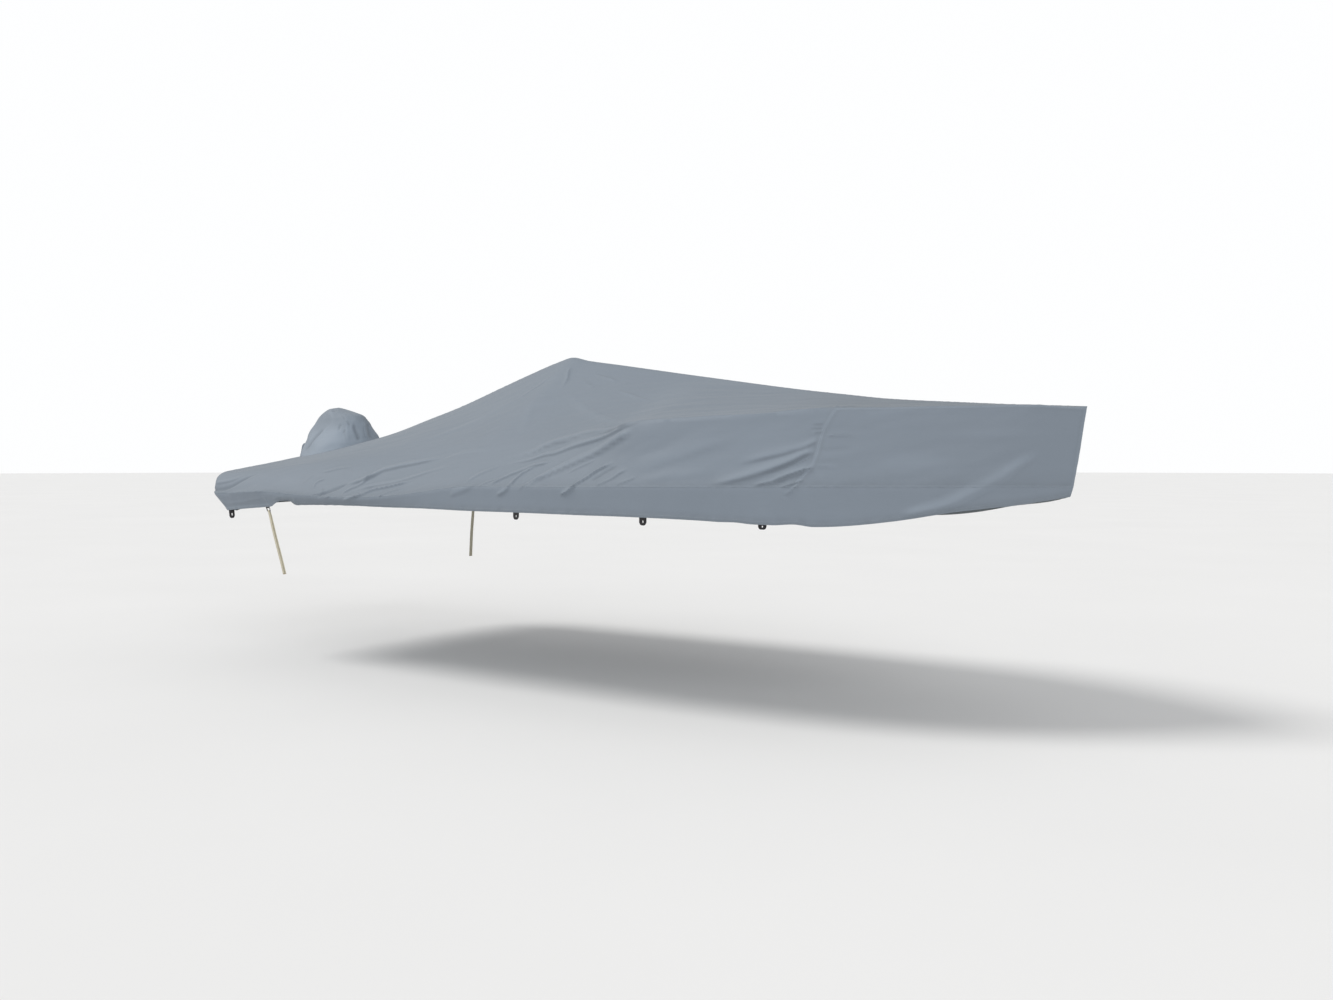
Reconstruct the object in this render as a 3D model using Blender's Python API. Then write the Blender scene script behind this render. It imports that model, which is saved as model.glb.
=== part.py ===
"""Fitted cover for an open motor boat, as it hangs over the boat.

Metres, +Z up, +X towards the bow, +Y to port. The origin is on the underside
of the cloth at the cover's peak, on the centreline.

Every cloth panel is a sheet CLOTH thick. All panels lie on one surface, which
a table of cross sections describes: each section runs from the ridge over the
rail and the gunwale down to the hem. A second table holds the folds. The
surface is cut along its seams into the panels, each a closed solid.
"""
import math

import bmesh
import bpy
import numpy as np
from mathutils import Matrix, Vector
from mathutils.geometry import delaunay_2d_cdt

# ---------------------------------------------------------------- sizes (m)
CLOTH = 0.0020            # thickness of the coated cloth
SEAM = 0.0002             # each panel stops this far short of its seam line
PEAK_X = 2.640            # peak, measured from the stern corner of the hem
PEAK_Z = 2.4063           # outer face of the cloth at the peak, above the ground
ORIGIN = np.array([PEAK_X, 0.0, PEAK_Z - CLOTH])
RIDGE_ROUND = 0.050       # half-width of the rounding along the ridge
CELL = 0.185              # spacing of the sheet's facets away from folds
EDGE_CELL = 0.160         # spacing along seams and hem

# one row per cross section; x, y and z are measured from the stern corner of
# the hem, the centreline and the ground; starboard side
SECTION_COLS = ("name", "u", "ridge_x", "rail_x", "rail_y", "rail_z", "gun_x", "gun_y", "gun_z",
                "hem_x", "hem_y", "hem_z", "rail_r", "gun_r", "top_sag", "side_sag")
SECTIONS = [
    ("stern seam",   -0.38, -0.280, -0.262, -0.985, 1.527, -0.245, -1.045, 1.360, -0.052, -1.030, 1.208, .07, .03, .000, .000),
    ("stern corner", -0.22, -0.230, -0.215, -1.095, 1.514, -0.172, -1.165, 1.357, -0.022, -1.135, 1.213, .09, .03, .000, .000),
    ("aft quarter",   0.02, -0.060,  0.000, -1.095, 1.518,  0.010, -1.195, 1.353,  0.048, -1.160, 1.219, .10, .03, .000, .000),
    ("hood front",    0.50,  0.500,  0.500, -1.085, 1.552,  0.500, -1.228, 1.372,  0.500, -1.183, 1.252, .12, .03, .000, .000),
    ("aft cockpit",   1.00,  1.000,  1.000, -1.020, 1.598,  1.000, -1.249, 1.352,  1.000, -1.209, 1.279, .16, .03, .005, .000),
    ("cockpit",       1.50,  1.500,  1.500, -0.930, 1.645,  1.500, -1.261, 1.345,  1.500, -1.230, 1.286, .20, .03, .010, .002),
    ("mid cockpit",   2.05,  2.050,  2.050, -0.820, 1.715,  2.050, -1.264, 1.372,  2.050, -1.249, 1.281, .22, .02, .012, .006),
    ("peak",          2.64,  2.640,  2.640, -0.790, 1.800,  2.640, -1.258, 1.438,  2.640, -1.257, 1.276, .22, .02, .010, .010),
    ("fore console",  3.10,  3.100,  3.100, -0.870, 1.760,  3.100, -1.253, 1.443,  3.100, -1.255, 1.275, .22, .02, .012, .015),
    ("fan",           3.60,  3.600,  3.600, -1.000, 1.770,  3.600, -1.240, 1.447,  3.600, -1.237, 1.270, .14, .02, .012, .020),
    ("rail aft end",  4.00,  4.000,  4.000, -1.085, 1.852,  4.000, -1.216, 1.450,  4.000, -1.212, 1.264, .07, .02, .012, .015),
    ("fore deck",     4.45,  4.450,  4.450, -1.040, 1.878,  4.450, -1.155, 1.453,  4.450, -1.152, 1.254, .05, .02, .015, .010),
    ("rail mid",      4.85,  4.850,  4.850, -0.945, 1.900,  4.850, -1.055, 1.456,  4.850, -1.053, 1.235, .04, .02, .012, .005),
    ("rail post",     5.20,  5.200,  5.200, -0.820, 1.922,  5.200, -0.930, 1.458,  5.200, -0.930, 1.226, .04, .02, .010, .000),
    ("bow shoulder",  5.55,  5.550,  5.550, -0.655, 1.930,  5.550, -0.752, 1.459,  5.550, -0.757, 1.262, .04, .02, .006, .000),
    ("bow quarter",   5.85,  5.850,  5.850, -0.485, 1.935,  5.850, -0.560, 1.459,  5.850, -0.556, 1.316, .03, .02, .003, -.004),
    ("bow cheek",     6.15,  6.150,  6.150, -0.272, 1.938,  6.145, -0.315, 1.459,  6.140, -0.322, 1.355, .02, .02, .001, -.010),
    ("stem",          6.46,  6.452,  6.450,  0.000, 1.924,  6.378,  0.000, 1.452,  6.360,  0.000, 1.399, .01, .01, .000, -.012),
]
# the ridge line, over the motor, up to the peak and down to the bow tip
RIDGE_COLS = ("x", "z")
RIDGE = [(-0.30, 1.682), (0.00, 1.732), (0.50, 1.813), (0.77, 1.871), (1.12, 1.967), (1.47, 2.062),
         (1.90, 2.200), (2.21, 2.299), (2.50, 2.384), (2.64, 2.414), (2.80, 2.381), (3.08, 2.337),
         (3.74, 2.230), (4.11, 2.171), (4.58, 2.099), (4.91, 2.055), (5.22, 2.016), (5.62, 1.985),
         (6.18, 1.948), (6.46, 1.936)]

# how far the hem is drawn up along the starboard side, and on port SHARE of it
LIFT_COLS = ("u", "lift")
HEM_LIFT = [(-.38, 0), (.59, 0), (.64, .022), (.72, .042), (.80, .044), (.845, .036), (.885, .008), (.93, 0),
            (4.92, .002), (5.04, .012), (5.14, .002), (5.35, 0), (6.46, 0)]
PORT_LIFT = 0.35
STERN_ARCH = 0.055        # the stern panel's hem stands this much higher amidships

# one row per fold: its line through three points (u along the boat, w metres
# above the gunwale seam along the cloth), its height (negative is a trough)
# and the half-width of its foot
FOLD_COLS = ("name", "side", "u0", "w0", "u1", "w1", "u2", "w2", "height", "foot")
FOLDS = [
    ("fan 1",          "starboard",  3.94, .420, 3.57, .452, 3.08, .372, -.016, .050),
    ("fan 2",          "starboard",  3.55, .352, 3.22, .336, 2.91, .255, -.014, .045),
    ("fan 3",          "starboard",  3.92, .322, 3.58, .252, 3.22, -.016, -.018, .045),
    ("fan 4",          "starboard",  3.24, .222, 3.06, .180, 2.92, .040, -.012, .035),
    ("fan crest",      "starboard",  3.84, .140, 3.64, .050, 3.49, -.052, .015, .028),
    ("post 1",         "starboard",  5.12, .290, 5.00, .236, 4.82, .178, .014, .030),
    ("post 2",         "starboard",  5.11, .212, 4.91, .118, 4.60, .028, .018, .034),
    ("bow tension",    "starboard",  5.58, -.155, 5.95, -.020, 6.24, .205, .026, .050),
    ("aft crest",      "starboard",  1.46, -.020, 1.68, .026, 1.92, .121, .018, .040),
    ("aft trough",     "starboard",  1.58, .091, 1.80, .253, 2.10, .386, -.015, .045),
    ("aft pocket",     "starboard",  1.18, -.010, 1.30, .063, 1.42, .151, -.012, .035),
    ("stern corner",   "starboard",  -0.03, .035, 0.13, .090, 0.32, .160, -.012, .040),
    ("fan 1",          "port",       3.92, .430, 3.60, .425, 3.20, .330, -.016, .050),
    ("fan 2",          "port",       3.80, .300, 3.52, .215, 3.28, -.020, -.017, .045),
    ("fan crest",      "port",       3.66, .150, 3.46, .075, 3.30, -.040, .014, .030),
    ("post 1",         "port",       5.11, .250, 4.90, .165, 4.66, .060, .017, .034),
    ("bow tension",    "port",       5.62, -.150, 5.92, -.040, 6.20, .160, .024, .050),
    ("aft crest",      "port",       1.60, -.014, 1.82, .048, 2.08, .152, .017, .040),
    ("aft trough",     "port",       1.40, .100, 1.66, .230, 2.00, .335, -.014, .045),
    ("stern corner",   "port",       0.02, .040, 0.20, .085, 0.40, .130, -.012, .040),
]

# post seam: from the rail line down to the gunwale seam, (u, share of the height)
POST_SEAM = [(5.22, 1.00), (5.17, .76), (5.15, .56), (5.14, .42), (5.12, .27), (5.07, .12), (5.03, .00)]

# hood over the motor: base oval on the deck cloth, then rings up to its top
HOOD_U, HOOD_HALF_U, HOOD_HALF_Y = 0.095, 0.302, 0.400
HOOD_X, HOOD_TOP_Z = 0.045, 2.092
HOOD_POWER = 2.15         # 2 is an ellipse, more is squarer
HOOD_COLS = ("share of height", "half_x", "half_y", "shift_x")
HOOD_RINGS = [(.16, .314, .345, .002), (.36, .308, .275, -.016), (.52, .296, .222, -.022), (.66, .268, .184, -.012),
              (.78, .232, .154, -.013), (.86, .164, .127, -.038), (.92, .113, .095, -.059), (.97, .071, .053, -.072)]
HOOD_SIDES = 28
TAB_OUT, TAB_FOOT, TAB_TOP = 0.022, 0.05, 0.27   # reach, and shares of the hood's height

# black webbing loops sewn behind the hem: u of each, per side
LOOP_COLS = ("name", "u", "half its span in u", "behind the cloth", "legs up behind it",
             "hang below the hem", "slot width", "slot top", "slot foot")
LOOPS = [("stern", -.060, .105, .0185, .018, .066, .010, .026, .044), ("strap", 0.530, .032, .0010, .024, .046, .029, .011, .032),
         ("aft", 3.140, .032, .0008, .024, .046, .0060, .017, .029), ("mid", 4.110, .032, .0008, .024, .048, .0065, .018, .031),
         ("fore", 4.860, .032, .0010, .024, .028, .0075, .0055, .015)]
LOOP_W, LOOP_T = 0.050, 0.0030
LOOP_CORNER = 0.012
STERN_TURN = 26.5         # degrees the stern loop is turned from its stretch of hem

# tan tie-down strap, doubled through its loop
STRAP_W, STRAP_NECK, STRAP_T = 0.025, 0.0245, 0.0016
STRAP_LENGTH = 0.50       # of each run, from the loop to its cut end
STRAP_FAN = 0.0075        # the runs lie this far to either side at their ends

COLOURS = {"cloth": (.290, .345, .385, 1), "black": (.012, .012, .014, 1), "tan": (.55, .50, .38, 1)}


# ------------------------------------------------------------- the surface
class Line:
    """Smooth curve through the rows of a table column."""

    def __init__(self, x, y, level=False):
        self.x, self.y = np.array(x, float), np.array(y, float)
        h = np.diff(self.x)
        d = np.diff(self.y) / h
        m = np.empty_like(self.y)
        m[1:-1] = (d[1:] * h[:-1] + d[:-1] * h[1:]) / (h[1:] + h[:-1])
        m[0], m[-1] = d[0], d[-1]
        if level:             # no overshoot between rows
            both = d[1:] + d[:-1]
            m[1:-1] = np.where(d[1:] * d[:-1] > 0, 2 * d[1:] * d[:-1] / np.where(both == 0, 1, both), 0)
        self.m = m

    def __call__(self, u):
        u = np.clip(u, self.x[0], self.x[-1])
        i = np.clip(np.searchsorted(self.x, u, side="right") - 1, 0, len(self.x) - 2)
        h = self.x[i + 1] - self.x[i]
        t = (u - self.x[i]) / h
        return ((2 * t**3 - 3 * t**2 + 1) * self.y[i] + (t**3 - 2 * t**2 + t) * h * self.m[i]
                + (3 * t**2 - 2 * t**3) * self.y[i + 1] + (t**3 - t**2) * h * self.m[i + 1])


LEVEL = ("rail_r", "gun_r", "top_sag", "side_sag", "rail_y", "rail_z")
U0, U1 = SECTIONS[0][1], SECTIONS[-1][1]
COLUMN = {c: Line([r[1] for r in SECTIONS], [r[k] for r in SECTIONS], c in LEVEL)
          for k, c in enumerate(SECTION_COLS) if k > 1}
RIDGE_Z = Line([r[0] for r in RIDGE], [r[1] for r in RIDGE], True)
LIFT = Line([r[0] for r in HEM_LIFT], [r[1] for r in HEM_LIFT], True)


def lines(u):
    """Ridge, rail, gunwale and hem points of the starboard half at u."""
    u = np.asarray(u, float)
    c = {k: f(u) for k, f in COLUMN.items()}
    ridge = np.stack([c["ridge_x"], 0 * u, RIDGE_Z(c["ridge_x"])], -1)
    return (ridge, np.stack([c["rail_x"], c["rail_y"], c["rail_z"]], -1),
            np.stack([c["gun_x"], c["gun_y"], c["gun_z"]], -1),
            np.stack([c["hem_x"], c["hem_y"], c["hem_z"]], -1))


def widths(u):
    """Width of the cloth from ridge to rail, rail to gunwale, gunwale to hem."""
    ridge, rail, gun, hem = lines(u)
    size = lambda a: np.linalg.norm(a, axis=-1)
    return size(rail - ridge), size(gun - rail), size(hem - gun)


def hem_w(u, side):
    """The hem, in metres above the gunwale seam."""
    return LIFT(u) * (1.0 if side == "starboard" else PORT_LIFT) - widths(u)[2]


def rounding(w, at, r):
    return np.where(np.abs(w - at) < r, (r - np.abs(w - at))**2 / (4 * np.maximum(r, 1e-6)), 0.0)


def smooth_surface(u, w):
    """The starboard half without folds; w is metres above the gunwale seam."""
    u, w = np.asarray(u, float), np.asarray(w, float)
    ridge, rail, gun, hem = lines(u)
    top, side, skirt = widths(u)
    d_skirt = (gun - hem) / skirt[..., None]
    d_side = (rail - gun) / side[..., None]
    d_top = (ridge - rail) / np.maximum(top, 1e-6)[..., None]
    p = np.where(w[..., None] < 0, gun + d_skirt * w[..., None],
                 np.where((w < side)[..., None], gun + d_side * w[..., None], rail + d_top * (w - side)[..., None]))
    t = np.clip((w - side) / np.maximum(top, 1e-6), 0, 1)
    s = np.clip(w / side, 0, 1)
    inboard = np.stack([0 * u, d_side[..., 2], -d_side[..., 1]], -1)
    p = p + np.stack([0 * u, 0 * u, -COLUMN["top_sag"](u) * 4 * t * (1 - t)], -1)
    p = p + inboard * (COLUMN["side_sag"](u) * 4 * s * (1 - s))[..., None]
    r_rail = np.minimum(COLUMN["rail_r"](u), 0.9 * np.minimum(top, side))
    r_gun = np.minimum(COLUMN["gun_r"](u), 0.4 * skirt)
    p = p + (d_top - d_side) * rounding(w, side, r_rail)[..., None]
    p = p + (d_side - d_skirt) * rounding(w, 0 * w, r_gun)[..., None]
    r_ridge = np.minimum(RIDGE_ROUND, 0.8 * top)
    p[..., 2] -= d_top[..., 2] * rounding(w, side + top, r_ridge)
    return p


def fold_line(row, n):
    """n points along a fold's curve, and the share of its height at each."""
    _, _, u0, w0, u1, w1, u2, w2, _, _ = row
    t = np.linspace(0, 1, n)
    a, b, c = np.array([u0, w0]), np.array([u1, w1]), np.array([u2, w2])
    m = 2 * b - (a + c) / 2
    pts = (1 - t)[:, None]**2 * a + 2 * (t * (1 - t))[:, None] * m + t[:, None]**2 * c
    return pts, np.clip(np.sin(np.pi * np.clip(t, 0, 1)) * 1.5, 0, 1)


def fold_height(u, w, side):
    """Height of all folds of one side at (u, w)."""
    h = np.zeros(np.shape(u))
    for row in FOLDS:
        if row[1] != side:
            continue
        pts, share = fold_line(row, 25)
        a, b = pts[:-1], pts[1:]
        ab = b - a
        q = np.stack([u, w], -1)[..., None, :]
        k = np.clip(((q - a) * ab).sum(-1) / (ab**2).sum(-1), 0, 1)
        d = np.linalg.norm(q - (a + ab * k[..., None]), axis=-1)
        j = d.argmin(-1)
        dist = np.take_along_axis(d, j[..., None], -1)[..., 0]
        kk = np.take_along_axis(k, j[..., None], -1)[..., 0]
        level = share[j] * (1 - kk) + share[j + 1] * kk
        h = h + row[8] * level * np.clip(1 - dist / row[9], 0, 1)
    return h


def surface(u, w, side="starboard"):
    """A point of the cover's outer face, folds included."""
    u, w = np.asarray(u, float), np.asarray(w, float)
    e = 0.004
    uu = np.clip(u, U0 + e, U1 - 0.02)
    top, flank, skirt = widths(uu)
    ww = np.clip(w, -skirt + e, top + flank - e)
    du = smooth_surface(uu + e, ww) - smooth_surface(uu - e, ww)
    dw = smooth_surface(uu, ww + e) - smooth_surface(uu, ww - e)
    n = np.cross(du, dw)
    n /= np.linalg.norm(n, axis=-1, keepdims=True)
    h = fold_height(u, w, side)
    top, flank, skirt = widths(u)
    h = h * np.clip((top + flank - w) / 0.05, 0, 1)      # folds die out at the ridge
    p = smooth_surface(u, w) + n * h[..., None]
    if side == "port":
        p = p * np.array([1.0, -1.0, 1.0])
    return p


# ------------------------------------------------------------- the meshing
def spaced(a, b, step):
    return np.linspace(a, b, max(2, int(math.ceil((b - a) / step)) + 1))


def stations():
    """u of the points along ridge, seams and hem; loops sit on flat facets."""
    u = list(spaced(U0, 0.04, 0.06)) + list(spaced(0.04, 5.2, EDGE_CELL))[1:] + list(spaced(5.2, U1, 0.105))[1:]
    u = [x for x in u if abs(x - PEAK_X) > .06] + [PEAK_X]
    for at, span in (row[1:3] for row in LOOPS):
        u = [x for x in u if abs(x - at) > span + 0.02 or x in (U0, U1)] + [at - span, at + span]
    return np.array(sorted(set(round(x, 5) for x in u)))


def superoval(angle, a, b, power):
    c, s = math.cos(angle), math.sin(angle)
    f = lambda v: math.copysign(abs(v)**(2 / power), v)
    return a * f(c), b * f(s)


def inside(poly, q):
    x, y = q
    hit = False
    for (x0, y0), (x1, y1) in zip(poly, poly[1:] + poly[:1]):
        if (y0 > y) != (y1 > y) and x < (x1 - x0) * (y - y0) / (y1 - y0) + x0:
            hit = not hit
    return hit


def half(side):
    """Triangles of one half: points (u, w), and for each triangle its panel."""
    us = stations()
    top, flank, skirt = widths(us)
    whole = top + flank
    pts, edges, held = [], [], []

    def add(line, closed=False, keep=True):
        start = len(pts)
        pts.extend((float(a), float(b)) for a, b in line)
        ids = list(range(start, len(pts)))
        edges.extend(zip(ids, ids[1:] + ids[:1]) if closed else zip(ids, ids[1:]))
        held.append(np.array(line, float))
        return ids

    # hood: its base oval cuts the ridge, so the outline runs round it
    oval = []
    for k in range(HOOD_SIDES // 2 + 1):
        ex, ey = superoval(math.pi * k / (HOOD_SIDES // 2), HOOD_HALF_U, HOOD_HALF_Y, HOOD_POWER)
        u = HOOD_U + ex
        oval.append((u, float(sum(widths(u)[:2])) - max(ey, 0.0)))
    ridge_line = [(u, z) for u, z in zip(us, whole) if u < HOOD_U - HOOD_HALF_U - .02]
    ridge_fore = [(u, z) for u, z in zip(us, whole) if u > HOOD_U + HOOD_HALF_U + .03]
    hem_us = sorted(set(us) | {u for u, _ in HEM_LIFT if .6 < u < 5.3})
    hem_us = [u for u in hem_us if u in us or np.abs(us - u).min() > .012]
    hem = [(u, float(hem_w(u, side))) for u in hem_us]
    stern = [(U0, w) for w in np.concatenate([spaced(-skirt[0], 0, .08)[1:], spaced(0, flank[0], .09)[1:],
                                              spaced(flank[0], whole[0], .16)[1:-1]])]
    stem = [(U1, w) for w in np.concatenate([[0.0], spaced(0, flank[-1], .10)[1:]])]
    rim = hem + stem + ridge_fore[::-1] + oval + ridge_line[::-1] + stern[::-1]
    add(rim, closed=True)
    gun = [(u, 0.0) for u in us[1:-1]]
    add([(U0, 0.0)] + gun + [(U1, 0.0)])
    rail_from = POST_SEAM[0][0]
    rail = [(rail_from, float(widths(rail_from)[1]))] + [(u, f) for u, f in zip(us, flank) if u > rail_from + .03]
    add(rail)
    post = [(u, s * float(widths(u)[1])) for u, s in POST_SEAM]
    add(post)
    # roundings at gunwale, rail and ridge get an edge at either foot
    r_gun, r_rail = COLUMN["gun_r"](us), COLUMN["rail_r"](us)
    inner = (us > U0 + .01) & (us < U1 - .12)
    add(list(zip(us[inner], r_gun[inner])))
    add(list(zip(us[inner], -r_gun[inner])))
    rail_far = inner & (us > .2)
    add(list(zip(us[rail_far], (flank - .8 * r_rail)[rail_far])))
    add(list(zip(us[inner], (flank + .8 * r_rail)[inner])))
    add([(u, f) for u, f in zip(us, flank) if 3.4 < u < rail_from - .05])
    crest = (us > .52) & (us < U1 - .12)
    add(list(zip(us[crest], (whole - RIDGE_ROUND * .9)[crest])))
    # folds: crest and both feet
    for row in FOLDS:
        if row[1] != side:
            continue
        line, share = fold_line(row, 7)
        d = np.gradient(line, axis=0)
        d /= np.linalg.norm(d, axis=1)[:, None]
        across = np.stack([-d[:, 1], d[:, 0]], -1) * row[9]
        add(list(map(tuple, line)))
        for way in (1, -1):
            add(list(map(tuple, (line + way * across)[1:-1])))
    # free points between, on staggered rows
    solid = np.concatenate([np.concatenate([l[:-1] + (l[1:] - l[:-1]) * t for t in np.linspace(0, 1, 5)]) if len(l) > 1 else l
                            for l in held])
    k = 0
    for u in np.arange(U0 + CELL * .8, U1 - .05, CELL * .87):
        a, b, c = (float(v) for v in widths(u))
        k += 1
        for w in np.arange(-c + CELL * .7 + (k % 2) * CELL * .5, a + b - CELL * .5, CELL):
            if np.linalg.norm(solid - (u, w), axis=1).min() > CELL * .42 and not inside(oval, (u, w)):
                pts.append((float(u), float(w)))
    v, _, faces, _, _, _ = delaunay_2d_cdt([Vector(p) for p in pts], edges, [], 1, 1e-5, True)
    uv = np.array([tuple(p) for p in v])
    bow = post[::-1][:0] + rail + [(U1, float(flank[-1])), (U1, 0.0)] + [(POST_SEAM[-1][0], 0.0)] + post[::-1]
    label = []
    rim_poly = rim
    out = []
    for f in faces:
        q = uv[list(f)].mean(0)
        if not inside(rim_poly, q):
            continue
        label.append("skirt" if q[1] < 0 else "bow_panel" if inside(bow, q) else "top_panel")
        out.append(tuple(f))
    return uv, out, label, oval


class Sheet:
    """All panels as one welded mesh of the outer face, cut apart at the end."""

    def __init__(self):
        self.v, self.index, self.tris, self.names = [], {}, [], []

    def vertex(self, p):
        key = tuple(int(round(c * 20000)) for c in p)
        if key not in self.index:
            self.index[key] = len(self.v)
            self.v.append(np.array(p, float))
        return self.index[key]

    def tri(self, a, b, c, name):
        if len({a, b, c}) == 3:
            self.tris.append((a, b, c))
            self.names.append(name)

    def normals(self):
        v = np.array(self.v)
        n = np.zeros_like(v)
        for a, b, c in self.tris:
            face = np.cross(v[b] - v[a], v[c] - v[a])
            size = np.linalg.norm(face)
            if size < 1e-12:
                continue
            face /= size
            for i, j, k in ((a, b, c), (b, c, a), (c, a, b)):
                e, f = v[j] - v[i], v[k] - v[i]
                n[i] += face * math.acos(max(-1, min(1, e @ f / np.linalg.norm(e) / np.linalg.norm(f))))
        centre = np.abs(v[:, 1]) < 1e-6
        n[centre, 1] = 0
        return n / np.maximum(np.linalg.norm(n, axis=1), 1e-9)[:, None]

    def panel(self, name, normal):
        """Closed solid of one panel: outer face, inner face and the rim between."""
        v = np.array(self.v)
        tris = [t for t, n in zip(self.tris, self.names) if n == name]
        count = {}
        for a, b, c in tris:
            for e in ((a, b), (b, c), (c, a)):
                count[e] = count.get(e, 0) + 1
        rim = [e for e in count if (e[1], e[0]) not in count]
        owner = {}
        for t in tris:
            for e in ((t[0], t[1]), (t[1], t[2]), (t[2], t[0])):
                owner[e] = t
        shift = {}
        for a, b in rim:
            t = owner[(a, b)]
            face = np.cross(v[t[1]] - v[t[0]], v[t[2]] - v[t[0]])
            way = np.cross(face, v[b] - v[a])
            way /= np.linalg.norm(way)
            shift.setdefault(a, []).append(way)
            shift.setdefault(b, []).append(way)
        used = sorted({i for t in tris for i in t})
        outer = {}
        for i in used:
            p = v[i]
            if i in shift:
                s = np.sum(shift[i], axis=0)
                s /= np.linalg.norm(s)
                p = p + s * SEAM / max(0.5, min(s @ w for w in shift[i]))
            outer[i] = p
        bm = bmesh.new()
        top = {i: bm.verts.new(outer[i] - ORIGIN) for i in used}
        low = {i: bm.verts.new(outer[i] - normal[i] * CLOTH - ORIGIN) for i in used}
        for a, b, c in tris:
            bm.faces.new((top[a], top[b], top[c]))
            bm.faces.new((low[c], low[b], low[a]))
        for a, b in rim:              # the same diagonal on both sides of a seam
            if a < b:
                bm.faces.new((top[b], top[a], low[a]))
                bm.faces.new((top[b], low[a], low[b]))
            else:
                bm.faces.new((top[b], top[a], low[b]))
                bm.faces.new((top[a], low[a], low[b]))
        return bm


def cover_sheet():
    sheet = Sheet()
    oval_ids, seam_ids = {}, {}
    for side in ("starboard", "port"):
        uv, faces, label, oval = half(side)
        p = surface(uv[:, 0], uv[:, 1], side)
        on_ridge = np.abs(uv[:, 1] - sum(widths(uv[:, 0])[:2])) < 1e-4
        on_stem = np.abs(uv[:, 0] - U1) < 1e-4
        p[on_ridge | on_stem, 1] = 0.0
        ids = [sheet.vertex(q) for q in p]
        for f, name in zip(faces, label):
            a, b, c = (ids[i] for i in f)
            if side == "port":
                a, b, c = a, c, b
            sheet.tri(a, b, c, name + "_" + side)
        find = lambda q: ids[int(np.linalg.norm(uv - q, axis=1).argmin())]
        oval_ids[side] = [find(q) for q in oval]
        on_seam = [i for i in range(len(uv)) if abs(uv[i, 0] - U0) < 1e-4]
        seam_ids[side] = [ids[i] for i in sorted(on_seam, key=lambda i: -uv[i, 1])]
    return sheet, oval_ids, seam_ids


def add_hood(sheet, oval_ids):
    """Hood: rings from the base oval to the top, closed by a fan."""
    base = oval_ids["starboard"] + oval_ids["port"][::-1][1:-1]
    v = sheet.v
    angles = [math.pi * k / (HOOD_SIDES // 2) for k in range(HOOD_SIDES)]
    rings = [base]
    low = np.mean([v[i][2] for i in base])
    for share, half_x, half_y, shift in HOOD_RINGS:
        ring = []
        for k, angle in enumerate(angles):
            ex, ey = superoval(angle, half_x, half_y, HOOD_POWER if share < .8 else 2.3)
            ey = -ey
            tilt = 1.0 - share
            z = v[base[k]][2] * tilt + HOOD_TOP_Z * share
            ring.append(sheet.vertex((HOOD_X + shift + ex, 0.0 if abs(ey) < 1e-6 else ey, z)))
        rings.append(ring)
    n = len(base)
    for r0, r1 in zip(rings, rings[1:]):
        for k in range(n):
            a, b, c, d = r0[k], r0[(k + 1) % n], r1[(k + 1) % n], r1[k]
            sheet.tri(a, c, b, "motor_hood")
            sheet.tri(a, d, c, "motor_hood")
    top = sheet.vertex((HOOD_X - .045, 0.0, HOOD_TOP_Z))
    for k in range(n):
        sheet.tri(rings[-1][k], top, rings[-1][(k + 1) % n], "motor_hood")
    return rings


def add_stern(sheet, seam_ids):
    """Stern panel: fills the seam curve across the transom."""
    v = sheet.v
    star, port = seam_ids["starboard"], seam_ids["port"]      # ridge down to hem
    ring = star[::-1] + port[1:]
    ring2d = [(v[i][1], v[i][2] + .004 * (1 - v[i][1]**2)) for i in ring]     # no three in one line
    y_hem = [v[star[-1]][1] * (1 - 2 * t) for t in np.linspace(0, 1, 16)[1:-1]]
    z_hem = v[star[-1]][2]
    low = [(y, z_hem + STERN_ARCH * (1 - (y / v[star[-1]][1])**4)) for y in y_hem[::-1]]
    outline = ring2d + low
    held = np.array(outline)
    pts = [tuple(map(float, q)) for q in outline]
    edges = [(i, (i + 1) % len(pts)) for i in range(len(pts))]
    for y in np.arange(-.92, .93, .153):
        for z in (1.26, 1.31, 1.40, 1.52, 1.62):
            if inside(outline, (y, z)) and np.linalg.norm(held - (y, z), axis=1).min() > .05:
                pts.append((float(y), float(z)))
    vv, _, faces, _, _, _ = delaunay_2d_cdt([Vector(q) for q in pts], edges, [], 1, 1e-5, True)

    def place(q):
        y, z = q
        x = -0.262 - 0.022 * (1 - y * y) + 1.12 * max(0.0, 1.395 - z)
        x -= 0.035 * (1 - min(1.0, abs(y))**2) * max(0.0, 1 - abs(z - 1.36) / .22)
        return np.array([x, y, z])

    ids = []
    for q in vv:
        q = (q[0], q[1])
        near = [i for i, r in zip(ring, ring2d) if abs(r[0] - q[0]) < 1e-4 and abs(r[1] - q[1]) < 1e-4]
        ids.append(near[0] if near else sheet.vertex(place(q)))
    for f in faces:
        q = np.mean([tuple(vv[i]) for i in f], axis=0)
        if inside(outline, q):
            a, b, c = (ids[i] for i in f)
            n = np.cross(v[b] - v[a], v[c] - v[a])
            if n[0] > 0:
                b, c = c, b
            sheet.tri(a, b, c, "stern_panel")


# --------------------------------------------------------------- the scene
def material(name, colour, rough):
    m = bpy.data.materials.new(name)
    m.use_nodes = True
    shader = m.node_tree.nodes["Principled BSDF"]
    shader.inputs["Base Color"].default_value = colour
    shader.inputs["Roughness"].default_value = rough
    shader.inputs["Metallic"].default_value = 0.0
    return m


def keep(name, data, group, colour, rough=.8, smooth=True):
    ob = bpy.data.objects.new(name, data)
    group.objects.link(ob)
    data.materials.append(material(name, colour, rough))
    if smooth and hasattr(data, "shade_smooth"):
        data.shade_smooth()
        data.set_sharp_from_angle(angle=math.radians(35))
    return ob


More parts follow.
